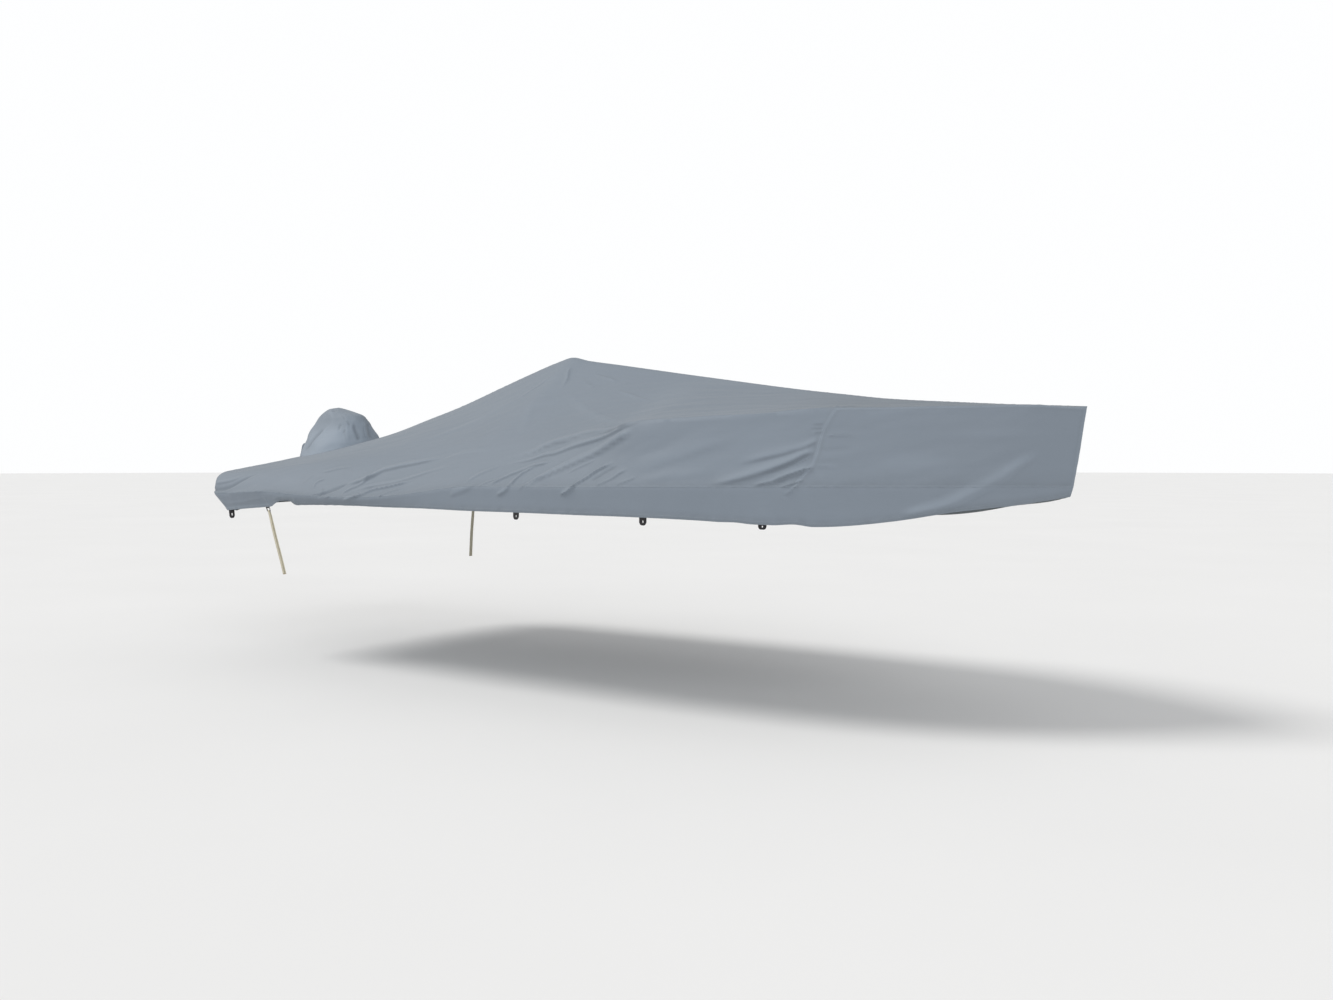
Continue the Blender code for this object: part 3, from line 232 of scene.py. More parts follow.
FOLDS = {"starboard": STARBOARD_FOLDS, "port": PORT_FOLDS}
NO_LEE_SHADE = ("bow", "stay", "deck", "gunwale", "side swell")     # these get no painted shade
# on the stern panel: points (y, z)
STERN_FOLDS = [
    ("corner a",  ((-.93, 1.500), (-.62, 1.410), (-.25, 1.360)), .0110, .030, .060, .20, .45, .45),
    ("corner b",  ((.95, 1.480), (.60, 1.400), (.20, 1.370)), .0100, .030, .056, .20, .45, .45),
    ("draw a",    ((-.80, 1.620), (-.55, 1.520), (-.34, 1.470)), .0070, .024, .040, .25, .45, .50),
    ("draw b",    ((.74, 1.620), (.52, 1.540), (.30, 1.480)), .0070, .024, .040, .25, .45, .50),
    ("gather 1",  ((-.42, 1.215), (-.38, 1.290), (-.30, 1.370)), .0080, .022, .026, .10, .50, .50),
    ("gather 2",  ((-.16, 1.205), (-.15, 1.280), (-.12, 1.350)), .0060, .020, .024, .10, .50, .50),
    ("gather 3",  ((.20, 1.205), (.22, 1.270), (.17, 1.360)), .0075, .022, .024, .10, .50, .50),
    ("gather 4",  ((.55, 1.210), (.50, 1.290), (.42, 1.360)), .0070, .022, .026, .10, .50, .50),
    ("gather 5",  ((-.78, 1.210), (-.76, 1.270), (-.68, 1.340)), .0060, .018, .022, .10, .50, .50),
]
# on the hood: points (degrees round from the front by starboard, share of its height)
HOOD_FOLDS = [
    ("side dark",    ((86, .56), (90, .46), (94, .38), (97, .28), (102, .19), (106, .09)), -.0110, .034, .030, .20, .22, .30),
    ("side light",   ((76, .62), (80, .54), (88, .35), (100, .17)), .0085, .030, .040, .25, .22, .35),
    ("front strip",  ((358, .62), (361, .40), (362, .17), (364, .05)), .0090, .026, .030, .25, .20, .45),
    ("front panel",  ((344, .60), (349, .42), (352, .25), (355, .07)), -.0080, .034, .034, .22, .20, .25),
    ("front trough", ((24, .58), (22, .48), (18, .34), (14, .19), (14, .06)), -.0100, .024, .024, .22, .18, .30),
    ("front corner", ((40, .70), (37, .46), (32, .24), (30, .08)), .0060, .030, .034, .25, .25, .35),
    ("top pucker 1", ((52, .80), (47, .73), (43, .67)), -.0050, .015, .018, .30, .30, .40),
    ("top pucker 2", ((42, .67), (36, .60), (31, .52)), -.0050, .014, .016, .30, .30, .50),
    ("side dip 1",   ((53, .63), (52, .53), (51, .43)), -.0050, .020, .020, .30, .40, .40),
    ("side dip 2",   ((39, .46), (40, .40), (41, .35)), -.0040, .014, .016, .30, .40, .50),
    ("brow 1",       ((40, .92), (62, .88), (88, .90)), .0040, .020, .026, .30, .30, .40),
    ("quarter 1",    ((118, .74), (128, .50), (140, .32)), .0060, .022, .030, .25, .30, .50),
    ("quarter 2",    ((132, .52), (144, .32), (154, .14)), -.0060, .020, .026, .30, .25, .40),
    ("base crease",  ((128, .07), (112, .045), (96, .030)), .0040, .014, .022, .20, .50, .60),
    ("aft 1",        ((176, .70), (172, .45), (178, .20)), .0080, .034, .034, .30, .30, .40),
    ("aft 2",        ((202, .76), (208, .50), (204, .24)), .0070, .030, .030, .30, .30, .40),
    ("port 1",       ((238, .80), (242, .56), (248, .30)), .0070, .028, .030, .30, .30, .45),
    ("port 2",       ((270, .84), (266, .60), (262, .36)), -.0060, .028, .026, .30, .40, .40),
    ("port corner",  ((322, .74), (324, .50), (328, .26), (330, .10)), .0090, .042, .050, .25, .30, .45),
    ("port dip",     ((305, .80), (308, .58), (312, .36)), -.0080, .026, .034, .25, .25, .45),
]

# hood, tab, loops and straps
HOOD_U, HOOD_HALF_U, HOOD_HALF_Y = 0.095, 0.302, 0.400
HOOD_X, HOOD_TOP_Z, HOOD_POWER = 0.045, 2.092, 2.15
HOOD_COLS = ("share of height", "half_x", "half_y", "shift_x")
HOOD_RINGS = [(.16, .314, .345, .002), (.36, .308, .275, -.016), (.52, .296, .222, -.022), (.66, .268, .184, -.012),
              (.78, .232, .154, -.013), (.86, .164, .127, -.038), (.92, .113, .095, -.059), (.97, .071, .053, -.072)]
HOOD_AROUND, HOOD_UP = 176, 46
TAB_ANGLE, TAB_OUT, TAB_FOOT, TAB_TOP = 141.43, 0.022, 0.05, 0.27
LOOP_COLS = ("name", "u", "half its span in u", "behind the cloth", "legs up behind it",
             "hang below the hem", "slot width", "slot top", "slot foot")
LOOPS = [("stern", -.060, .105, .0185, .018, .066, .010, .026, .044), ("strap", 0.530, .032, .0010, .024, .046, .029, .011, .032),
         ("aft", 3.140, .032, .0008, .024, .046, .0060, .017, .029), ("mid", 4.110, .032, .0008, .024, .048, .0065, .018, .031),
         ("fore", 4.860, .032, .0010, .024, .028, .0075, .0055, .015)]
LOOP_W, LOOP_T, STERN_TURN = 0.050, 0.0030, 26.5
STRAP_W, STRAP_NECK, STRAP_T = 0.025, 0.0245, 0.0016
STRAP_LENGTH, STRAP_FAN = 0.50, 0.0075


# ------------------------------------------------------------ the surface
class Line:
    """Smooth curve through the rows of a table column."""

    def __init__(self, x, y, level=False):
        self.x, self.y = np.array(x, float), np.array(y, float)
        h = np.diff(self.x)
        d = np.diff(self.y) / h
        m = np.empty_like(self.y)
        m[1:-1] = (d[1:] * h[:-1] + d[:-1] * h[1:]) / (h[1:] + h[:-1])
        m[0], m[-1] = d[0], d[-1]
        if level:
            both = d[1:] + d[:-1]
            m[1:-1] = np.where(d[1:] * d[:-1] > 0, 2 * d[1:] * d[:-1] / np.where(both == 0, 1, both), 0)
        self.m = m

    def __call__(self, u):
        u = np.clip(u, self.x[0], self.x[-1])
        i = np.clip(np.searchsorted(self.x, u, side="right") - 1, 0, len(self.x) - 2)
        h = self.x[i + 1] - self.x[i]
        t = (u - self.x[i]) / h
        return ((2 * t**3 - 3 * t**2 + 1) * self.y[i] + (t**3 - 2 * t**2 + t) * h * self.m[i]
                + (3 * t**2 - 2 * t**3) * self.y[i + 1] + (t**3 - t**2) * h * self.m[i + 1])


LEVEL = ("rail_r", "gun_r", "top_sag", "side_sag", "rail_y", "rail_z")
U0, U1 = SECTIONS[0][1], SECTIONS[-1][1]
COLUMN = {c: Line([r[1] for r in SECTIONS], [r[k] for r in SECTIONS], c in LEVEL)
          for k, c in enumerate(SECTION_COLS) if k > 1}
RIDGE_Z = Line([r[0] for r in RIDGE], [r[1] for r in RIDGE], True)
LIFT = Line([r[0] for r in HEM_LIFT], [r[1] for r in HEM_LIFT], True)
POST_SHARE = Line([r[0] for r in POST_SEAM[::-1]], [r[1] for r in POST_SEAM[::-1]], True)


def step(x):
    x = np.clip(x, 0, 1)
    return x * x * (3 - 2 * x)


def lines(u):
    u = np.asarray(u, float)
    c = {k: f(u) for k, f in COLUMN.items()}
    ridge = np.stack([c["ridge_x"], 0 * u, RIDGE_Z(c["ridge_x"])], -1)
    return (ridge, np.stack([c["rail_x"], c["rail_y"], c["rail_z"]], -1),
            np.stack([c["gun_x"], c["gun_y"], c["gun_z"]], -1),
            np.stack([c["hem_x"], c["hem_y"], c["hem_z"]], -1))


def widths(u):
    ridge, rail, gun, hem = lines(u)
    size = lambda a: np.linalg.norm(a, axis=-1)
    return size(rail - ridge), size(gun - rail), size(hem - gun)


def whole(u):
    top, flank, _ = widths(u)
    return top + flank


def hem_w(u, side):
    return LIFT(u) * (1.0 if side == "starboard" else PORT_LIFT) - widths(u)[2]


def rounding(w, at, r):
    return np.where(np.abs(w - at) < r, (r - np.abs(w - at))**2 / (4 * np.maximum(r, 1e-6)), 0.0)


def smooth_surface(u, w):
    """The starboard half without folds."""
    u, w = np.asarray(u, float), np.asarray(w, float)
    ridge, rail, gun, hem = lines(u)
    top, side, skirt = widths(u)
    d_skirt = (gun - hem) / skirt[..., None]
    d_side = (rail - gun) / side[..., None]
    d_top = (ridge - rail) / np.maximum(top, 1e-6)[..., None]
    p = np.where(w[..., None] < 0, gun + d_skirt * w[..., None],
                 np.where((w < side)[..., None], gun + d_side * w[..., None], rail + d_top * (w - side)[..., None]))
    t = np.clip((w - side) / np.maximum(top, 1e-6), 0, 1)
    s = np.clip(w / side, 0, 1)
    inboard = np.stack([0 * u, d_side[..., 2], -d_side[..., 1]], -1)
    p = p + np.stack([0 * u, 0 * u, -COLUMN["top_sag"](u) * 4 * t * (1 - t)], -1)
    p = p + inboard * (COLUMN["side_sag"](u) * 4 * s * (1 - s))[..., None]
    r_rail = np.minimum(COLUMN["rail_r"](u), 0.9 * np.minimum(top, side))
    r_gun = np.minimum(COLUMN["gun_r"](u), 0.4 * skirt)
    p = p + (d_top - d_side) * rounding(w, side, r_rail)[..., None]
    p = p + (d_side - d_skirt) * rounding(w, 0 * w, r_gun)[..., None]
    r_ridge = np.minimum(RIDGE_ROUND, 0.8 * top)
    p[..., 2] -= d_top[..., 2] * rounding(w, side + top, r_ridge)
    return p


def normal_of(q):
    """Outward normal of the smooth starboard half at q = (u, w)."""
    e = 0.004
    u = np.clip(q[:, 0], U0 + e, U1 - 0.02)
    top, flank, skirt = widths(u)
    w = np.clip(q[:, 1], -skirt + e, top + flank - e)
    du = smooth_surface(u + e, w) - smooth_surface(u - e, w)
    dw = smooth_surface(u, w + e) - smooth_surface(u, w - e)
    n = np.cross(du, dw)
    return n / np.linalg.norm(n, axis=-1, keepdims=True)


def curve(points, per=10):
    """Points along a smooth curve through the given ones."""
    p = np.array(points, float)
    ends = np.concatenate([[2 * p[0] - p[1]], p, [2 * p[-1] - p[-2]]])
    out = []
    for i in range(len(p) - 1):
        a, b, c, d = ends[i:i + 4]
        t = np.linspace(0, 1, per, endpoint=False)[:, None]
        out.append(.5 * (2 * b + (c - a) * t + (2 * a - 5 * b + 4 * c - d) * t**2 + (3 * b - a - 3 * c + d) * t**3))
    return np.concatenate(out + [p[-1:]])


def fold_fields(q, rows, scale=(1.0, 1.0)):
    """Height of all folds at the points q, and the painted shade on their lower flanks and
    troughs, 0 to 1; scale turns a table's units into metres."""
    h, lee_shade = np.zeros(len(q)), np.zeros(len(q))
    q = q * np.array(scale)
    for name, line, rise, under, over, head, tail, crisp in rows:
        pts = curve(line) * np.array(scale)
        reach = max(under, over)
        near = np.nonzero(((q > pts.min(0) - reach) & (q < pts.max(0) + reach)).all(1))[0]
        if not len(near):
            continue
        a, ab = pts[:-1], np.diff(pts, axis=0)
        size = np.linalg.norm(ab, axis=1)
        p = q[near][:, None]
        k = np.clip(((p - a) * ab).sum(-1) / size**2, 0, 1)
        away = p - (a + ab * k[..., None])
        d = np.linalg.norm(away, axis=-1)
        j = d.argmin(1)
        i = np.arange(len(near))
        dist, kk = d[i, j], k[i, j]
        left = ab[j, 0] * away[i, j, 1] - ab[j, 1] * away[i, j, 0]
        t = (np.concatenate([[0], np.cumsum(size)])[j] + kk * size[j]) / size.sum()
        foot = np.where(left > 0, under, over) * (.62 + .38 * np.sin(np.pi * np.clip(t, 0, 1)))
        x = np.clip(np.sqrt((dist / foot)**2 + .0025) - .05, 0, 1)
        grown = step(t / head) * step((1 - t) / tail)
        h[near] += rise * grown * (1 - x)**2 * (1 + 2 * (1 - crisp) * x)
        if name.startswith(NO_LEE_SHADE):
            continue
        # painted shade: the lower flank of a ridge, and the whole of a trough
        if rise > 0:
            lee_shade[near] += (left > 0) * min(1.0, 2.1 * rise / under) * grown * step(1 - np.abs(dist / foot - .50) / .50)
        else:
            lee_shade[near] += min(1.0, -1.8 * rise / reach) * grown * step(1 - dist / foot)
    return h, np.clip(lee_shade, 0, 1)


def fold_sum(q, rows, scale=(1.0, 1.0)):
    """Height of all folds at the points q."""
    return fold_fields(q, rows, scale)[0]


def waves(q, seed, count, low, high, lean, spread):
    """Sum of sines whose crests run along the direction lean, with a deviation of about 1."""
    rng = np.random.default_rng(seed)
    length = np.exp(rng.uniform(math.log(low), math.log(high), count))
    angle = lean + math.pi / 2 + rng.normal(0, spread, count)
    phase = rng.uniform(0, 2 * math.pi, count)
    size = length / length.mean()
    h = np.zeros(len(q))
    for l, a, f, s in zip(length, angle, phase, size):
        h += s * np.sin(2 * math.pi * (q[:, 0] * math.cos(a) + q[:, 1] * math.sin(a)) / l + f)
    return h / math.sqrt((size**2).sum() / 2)


def seam_line(name, gap=EDGE):
    """Points (u, w) along a seam."""
    if name == "gunwale":
        u = np.arange(U0, U1 + gap / 2, gap)
        return np.stack([u, 0 * u], -1)
    if name == "rail":
        u = np.append(np.arange(5.22, U1 - gap / 3, gap), U1)
        return np.stack([u, widths(u)[1]], -1)
    if name == "post":
        t = curve(POST_SEAM, 12)
        t[:, 1] *= widths(t[:, 0])[1]
        return resample(t, gap)
    if name == "stern":
        return np.stack([np.full(200, U0), np.linspace(0, whole(U0), 200)], -1)
    if name == "stem":
        return np.stack([np.full(60, U1), np.linspace(0, whole(U1), 60)], -1)
    if name == "hood":
        return resample(oval_line(), gap)
    raise KeyError(name)


def resample(p, gap):
    s = np.concatenate([[0], np.cumsum(np.linalg.norm(np.diff(p, axis=0), axis=1))])
    at = np.linspace(0, s[-1], max(2, int(round(s[-1] / gap)) + 1))
    return np.stack([np.interp(at, s, p[:, k]) for k in range(p.shape[1])], -1)


def superoval(angle, a, b, power):
    c, s = np.cos(angle), np.sin(angle)
    return a * np.sign(c) * np.abs(c)**(2 / power), b * np.sign(s) * np.abs(s)**(2 / power)


def oval_line(n=181):
    """The hood's base on the starboard half, front to back, in (u, w)."""
    ex, ey = superoval(np.linspace(0, math.pi, n), HOOD_HALF_U, HOOD_HALF_Y, HOOD_POWER)
    u = HOOD_U + ex
    return np.stack([u, whole(u) - np.maximum(ey, 0)], -1)


def tree_of(points):
    tree = kdtree.KDTree(len(points))
    for i, p in enumerate(points):
        tree.insert((p[0], p[1], 0), i)
    tree.balance()
    return tree


def far(q, tree, cap=1e9):
    return np.array([tree.find((p[0], p[1], 0))[2] for p in q])


SEAM_TREE = tree_of(np.concatenate([seam_line(n, .003) for n in ("rail", "post", "stern", "stem", "hood")]
                                   + [np.stack([np.arange(U0, U1, .003), whole(np.arange(U0, U1, .003))], -1)]))


def welt(d, rise=WELT, width=WELT_W):
    """Profile of a folded edge d from its seam."""
    return rise * step((width + .0035 - d) / .0035) * (.25 + .75 * step(d / .0025))


def outer(q, side, part):
    """Points of a panel's outer face at q = (u, w)."""
    q = np.asarray(q, float)
    u, w = q[:, 0], q[:, 1]
    n = normal_of(q)
    high = whole(u)
    h = fold_sum(q, FOLDS[side])
    seed = 11 if side == "starboard" else 29
    calm = step((high - w) / .20) * step((u - U0) / .12) * step((U1 - u) / .30)
    soft = .0022 * waves(q, seed, 16, .40, 1.05, .25, .9) * step((w + .02) / .30)
    soft += .0008 * waves(q, seed + 1, 26, .07, .19, .32, .22) * step((w + .04) / .10)
    soft += .0007 * waves(q, seed + 2, 22, .10, .26, 1.5, .35) * step((.10 - w) / .06)
    h = h * np.clip((high - w) / .05, 0, 1) * step((U1 - u) / .06) * step((u - U0) / .05) + soft * calm
    if part == "skirt":
        d = w - hem_w(u, side)
        h = h - .0013 * step((w + .003) / .003) - .0004 * step((w + .020) / .014) * step(-w / .003)
        h = h + HEM_RISE * step((HEM_W - d) / .003) * (.1 + .9 * step(d / .002))
        h = h + .0010 * waves(q, seed + 3, 14, .05, .14, 1.5, .2) * step((.05 - d) / .05)
    else:
        d = np.minimum(far(q, SEAM_TREE), np.maximum(w, 0))
        h = h + welt(d)
        # cloth puckers a little where it is sewn
        h = h + .0006 * waves(q, seed + 4, 16, .030, .075, 1.4, .5) * step((.035 - d) / .03) * step(d / .006)
    p = smooth_surface(u, w) + n * h[:, None]
    p[np.abs(high - w) < 1e-6, 1] = 0.0
    p[np.abs(u - U1) < 1e-6, 1] = 0.0
    if side == "port":
        p = p * np.array([1.0, -1.0, 1.0])
    return p


# ------------------------------------------------------------ meshing
def lattice(lo, hi, s):
    rows = []
    for k, w in enumerate(np.arange(lo[1], hi[1], s * .866)):
        u = np.arange(lo[0] + (k % 2) * s / 2, hi[0], s)
        rows.append(np.stack([u, np.full(len(u), w)], -1))
    return np.concatenate(rows)


def near_folds(q, rows, scale=(1.0, 1.0)):
    hit = np.zeros(len(q), bool)
    for name, line, rise, under, over, head, tail, crisp in rows:
        if abs(rise) < .0041 or max(under, over) >= .08:
            continue
        pts = resample(curve(line), .012)
        lo, hi = pts.min(0) - over, pts.max(0) + over
        near = np.nonzero(((q > lo) & (q < hi)).all(1) & ~hit)[0]
        if len(near):
            reach = max(under, over) * .72
            d = np.min([np.linalg.norm(q[near] - p, axis=1) for p in pts], axis=0)
            hit[near[d < reach]] = True
    return hit


def enclosed(points, rim):
    """Which points lie inside a closed rim."""
    x0, y0 = rim[:, 0], rim[:, 1]
    x1, y1 = np.roll(x0, -1), np.roll(y0, -1)
    out = np.zeros(len(points), bool)
    for i in range(0, len(points), 4000):
        x, y = points[i:i + 4000, 0, None], points[i:i + 4000, 1, None]
        across = (y0 > y) != (y1 > y)
        hit = across & (x < x0 + (y - y0) * (x1 - x0) / np.where(across, y1 - y0, 1))
        out[i:i + 4000] = hit.sum(1) % 2 == 1
    return out


def region(rims, inside, rows, fine=FINE, coarse=COARSE, rails=()):
    """Triangles over a region: its closed rim, a test for inner points, and rows beside its seams."""
    rim = np.concatenate([r[:-1] for r in rims])
    beside = []
    for line, offsets in rails:
        d = np.gradient(line, axis=0)
        d /= np.linalg.norm(d, axis=1)[:, None]
        for o in offsets:
            beside.append(line + np.stack([-d[:, 1], d[:, 0]], -1) * o)
    beside = np.concatenate(beside) if beside else np.zeros((0, 2))
    tree = tree_of(rim)
    if len(beside):
        beside = beside[inside(beside)]
        beside = beside[far(beside, tree) > .0012]
        both = tree_of(np.concatenate([rim, beside]))
    else:
        both = tree
    lo, hi = rim.min(0), rim.max(0)
    f = lattice(lo, hi, fine)
    f = f[inside(f)]
    f = f[near_folds(f, rows)]
    c = lattice(lo, hi, coarse)
    c = c[inside(c)]
    c = c[~near_folds(c, rows)]
    f, c = f[far(f, both) > fine * .55], c[far(c, both) > coarse * .42]
    pts = np.concatenate([rim, beside, f, c])
    n = len(rim)
    edges = [(i, (i + 1) % n) for i in range(n)]
    v, _, faces, _, _, _ = delaunay_2d_cdt([Vector(p) for p in pts], edges, [], 1, 1e-7, False)
    v = np.array([(p[0], p[1]) for p in v])
    tri = np.array([tuple(t) for t in faces if len(t) == 3], int)
    a, b, c = (v[tri[:, k]] for k in range(3))
    area = (b[:, 0] - a[:, 0]) * (c[:, 1] - a[:, 1]) - (b[:, 1] - a[:, 1]) * (c[:, 0] - a[:, 0])
    tri[area < 0] = tri[area < 0][:, ::-1]
    return v, tri[(np.abs(area) > 1e-10) & enclosed((a + b + c) / 3, rim)]


def vertex_normals(v, faces):
    n = np.zeros_like(v)
    k = faces.shape[1]
    c = np.cross(v[faces[:, 1]] - v[faces[:, 0]], v[faces[:, 2]] - v[faces[:, 0]])
    if k == 4:
        c = c + np.cross(v[faces[:, 2]] - v[faces[:, 0]], v[faces[:, 3]] - v[faces[:, 0]])
    for i in range(k):
        np.add.at(n, faces[:, i], c)
    return n / np.maximum(np.linalg.norm(n, axis=1), 1e-12)[:, None]


def mesh_object(name, verts, face_sets, uv, mats, face_mat=None, wear_and_painted_light=None, sharp=48):
    """Object from arrays of faces with 3 or 4 corners each."""
    me = bpy.data.meshes.new(name)
    sizes = np.concatenate([np.full(len(f), f.shape[1]) for f in face_sets])
    loops = np.concatenate([f.ravel() for f in face_sets])
    me.vertices.add(len(verts))
    me.vertices.foreach_set("co", np.asarray(verts, np.float32).ravel())
    me.loops.add(len(loops))
    me.loops.foreach_set("vertex_index", loops.astype(np.int32))
    me.polygons.add(len(sizes))
    me.polygons.foreach_set("loop_start", np.concatenate([[0], np.cumsum(sizes)[:-1]]).astype(np.int32))
    if face_mat is not None:
        me.polygons.foreach_set("material_index", face_mat.astype(np.int32))
    me.update(calc_edges=True)
    me.validate()
    layer = me.uv_layers.new(name="cloth_m")
    layer.uv.foreach_set("vector", np.asarray(uv, np.float32)[loops].ravel())
    col = me.attributes.new("wear_and_painted_light", "FLOAT_COLOR", "POINT")
    data = np.zeros((len(verts), 4), np.float32)
    data[:, 3] = 1
    if wear_and_painted_light is not None:
        data[:, :3] = wear_and_painted_light
    col.data.foreach_set("color", data.ravel())
    me.shade_smooth()
    me.set_sharp_from_angle(angle=math.radians(sharp))
    for m in mats:
        me.materials.append(m)
    ob = bpy.data.objects.new(name, me)
    bpy.context.scene.collection.objects.link(ob)
    return ob


def lap_thick(q):
    """Thickness of a panel, thin where it laps over the skirt."""
    return .0010 + .0010 * step((q[:, 1] - LAP - .001) / .010)


def sheet_object(name, v, faces, uv, mats, thick=CLOTH, wear_and_painted_light=None, flip=False):
    """Closed thin sheet: the outer face v, an inner face behind it and the rim between."""
    if flip:
        faces = faces[:, ::-1]
    n = vertex_normals(v, faces)
    thick = np.broadcast_to(np.asarray(thick, float), (len(v),))
    inner = v - n * thick[:, None]
    count = len(v)
    k = faces.shape[1]
    a = np.concatenate([faces[:, i] for i in range(k)])
    b = np.concatenate([faces[:, (i + 1) % k] for i in range(k)])
    code, back = a * count + b, b * count + a
    rim = ~np.isin(code, back)
    a, b = a[rim], b[rim]
    quads = np.stack([b, a, a + count, b + count], -1)
    face_mat = np.concatenate([np.zeros(len(faces)), np.ones(len(faces)) * (len(mats) > 1), np.zeros(len(quads))])
    return mesh_object(name, np.concatenate([v, inner]), [faces, faces[:, ::-1] + count, quads],
                       np.concatenate([uv, uv]), mats, face_mat, None if wear_and_painted_light is None else np.concatenate([wear_and_painted_light, wear_and_painted_light]))


# ------------------------------------------------------------ materials
def nodes_of(name):
    m = bpy.data.materials.new(name)
    m.use_nodes = True
    t = m.node_tree
    return m, t, t.nodes["Principled BSDF"]


def math_node(t, op, a, b=None, c=None):
    n = t.nodes.new("ShaderNodeMath")
    n.operation = op
    for i, x in enumerate((a, b, c)):
        if x is None:
            continue
        if isinstance(x, (int, float)):
            n.inputs[i].default_value = x
        else:
            t.links.new(x, n.inputs[i])
    return n.outputs[0]


def mix(t, factor, a, b, kind="MIX"):
    n = t.nodes.new("ShaderNodeMix")
    n.data_type = "RGBA"
    n.blend_type = kind
    for key, x in ((0, factor), (6, a), (7, b)):
        if isinstance(x, (int, float)):
            n.inputs[key].default_value = x
        elif isinstance(x, tuple):
            n.inputs[key].default_value = x
        else:
            t.links.new(x, n.inputs[key])
    return n.outputs[2]


def noise(t, vector, scale, detail=3.0, rough=.5):
    n = t.nodes.new("ShaderNodeTexNoise")
    n.inputs["Scale"].default_value = scale
    n.inputs["Detail"].default_value = detail
    n.inputs["Roughness"].default_value = rough
    t.links.new(vector, n.inputs["Vector"])
    return n.outputs["Fac"]


def stretched(t, vector, scale):
    n = t.nodes.new("ShaderNodeMapping")
    n.inputs["Scale"].default_value = scale
    t.links.new(vector, n.inputs["Vector"])
    return n.outputs["Vector"]


def weave(t, pitch, twist=.00022):
    """Plain weave over the cloth's own metres: 0 between yarns, 1 on their crowns."""
    uv = t.nodes.new("ShaderNodeUVMap")
    uv.uv_map = "cloth_m"
    wobble = t.nodes.new("ShaderNodeTexNoise")
    wobble.inputs["Scale"].default_value = 60.0
    wobble.inputs["Detail"].default_value = 2.0
    t.links.new(uv.outputs["UV"], wobble.inputs["Vector"])
    sep = t.nodes.new("ShaderNodeSeparateXYZ")
    t.links.new(uv.outputs["UV"], sep.inputs[0])
    off = math_node(t, "MULTIPLY", math_node(t, "SUBTRACT", wobble.outputs["Fac"], .5), twist * 2)
    x = math_node(t, "ADD", sep.outputs["X"], off)
    y = math_node(t, "SUBTRACT", sep.outputs["Y"], off)
    sx = math_node(t, "SINE", math_node(t, "MULTIPLY", x, 2 * math.pi / pitch))
    sy = math_node(t, "SINE", math_node(t, "MULTIPLY", y, 2 * math.pi / pitch))
    return uv.outputs["UV"], math_node(t, "MULTIPLY_ADD", math_node(t, "MULTIPLY", sx, sy), .5, .5)


def bump(t, shader, layers):
    """layers of (height socket, distance in metres, strength), coarse first."""
    last = None
    for height, distance, strength in layers:
        b = t.nodes.new("ShaderNodeBump")
        b.inputs["Distance"].default_value = distance
        b.inputs["Strength"].default_value = strength
        t.links.new(height, b.inputs["Height"])
        if last is not None:
            t.links.new(last, b.inputs["Normal"])
        last = b.outputs["Normal"]
    t.links.new(last, shader.inputs["Normal"])


def cloth_material(name, colour, inside=False, rub_and_highlight_gain=1.42):
    m, t, s = nodes_of(name)
    place = t.nodes.new("ShaderNodeTexCoord").outputs["Object"]
    uv, yarn = weave(t, .0012)
    wear_and_painted_light = t.nodes.new("ShaderNodeAttribute")
    wear_and_painted_light.attribute_name = "wear_and_painted_light"
    sep = t.nodes.new("ShaderNodeSeparateColor")
    t.links.new(wear_and_painted_light.outputs["Color"], sep.inputs[0])
    cloud = noise(t, place, 1.1, 4.0, .55)
    streak = noise(t, stretched(t, uv, (3.0, 26.0, 1.0)), 1.0, 4.0, .6)
    fleck = noise(t, uv, 240.0, 2.0, .6)
    crinkle = noise(t, stretched(t, uv, (16.0, 34.0, 1.0)), 1.0, 4.0, .58)
    shade = tuple(c * .90 for c in colour[:3]) + (1,)
    light = tuple(min(1, c * 1.08) for c in colour[:3]) + (1,)
    base = mix(t, cloud, shade, light)
    base = mix(t, math_node(t, "MULTIPLY", streak, .22), base, tuple(c * .86 for c in colour[:3]) + (1,))
    base = mix(t, math_node(t, "MULTIPLY", fleck, .14), base, tuple(min(1, c * 1.30) for c in colour[:3]) + (1,))
    base = mix(t, math_node(t, "MULTIPLY_ADD", yarn, -.10, .10), base, tuple(c * .60 for c in colour[:3]) + (1,))
    # crests are painted paler as a highlight and seams are paler with rubbing; troughs and the foredeck's top get
    # painted shade, and dust and damp gather along the hem and beside seams
    base = mix(t, math_node(t, "MULTIPLY", sep.outputs[0], .24), base, tuple(min(1, c * rub_and_highlight_gain) for c in colour[:3]) + (1,))
    dirt_and_shade = math_node(t, "MULTIPLY", sep.outputs[1], math_node(t, "MULTIPLY_ADD", noise(t, place, 9.0, 5.0, .6), .50, .10))
    base = mix(t, dirt_and_shade, base, (colour[0] * .62, colour[1] * .60, colour[2] * .56, 1))
    # painted shade darkens the folds' lower flanks and their troughs
    lee_shade = math_node(t, "MULTIPLY", sep.outputs[2], math_node(t, "MULTIPLY_ADD", noise(t, place, 14.0, 3.0, .6), .5, .70))
    base = mix(t, lee_shade, base, tuple(c * .80 for c in colour[:3]) + (1,))
    t.links.new(base, s.inputs["Base Color"])
    rough = math_node(t, "MULTIPLY_ADD", streak, .10, .60 if not inside else .70)
    rough = math_node(t, "MULTIPLY_ADD", sep.outputs[1], .08, rough)
    t.links.new(rough, s.inputs["Roughness"])
    s.inputs["Specular IOR Level"].default_value = .34
    s.inputs["Sheen Weight"].default_value = .10 if not inside else .04
    s.inputs["Sheen Roughness"].default_value = .45
    bump(t, s, [(crinkle, .0016, .55), (fleck, .0002, .25), (yarn, .00022, .45)])
    return m


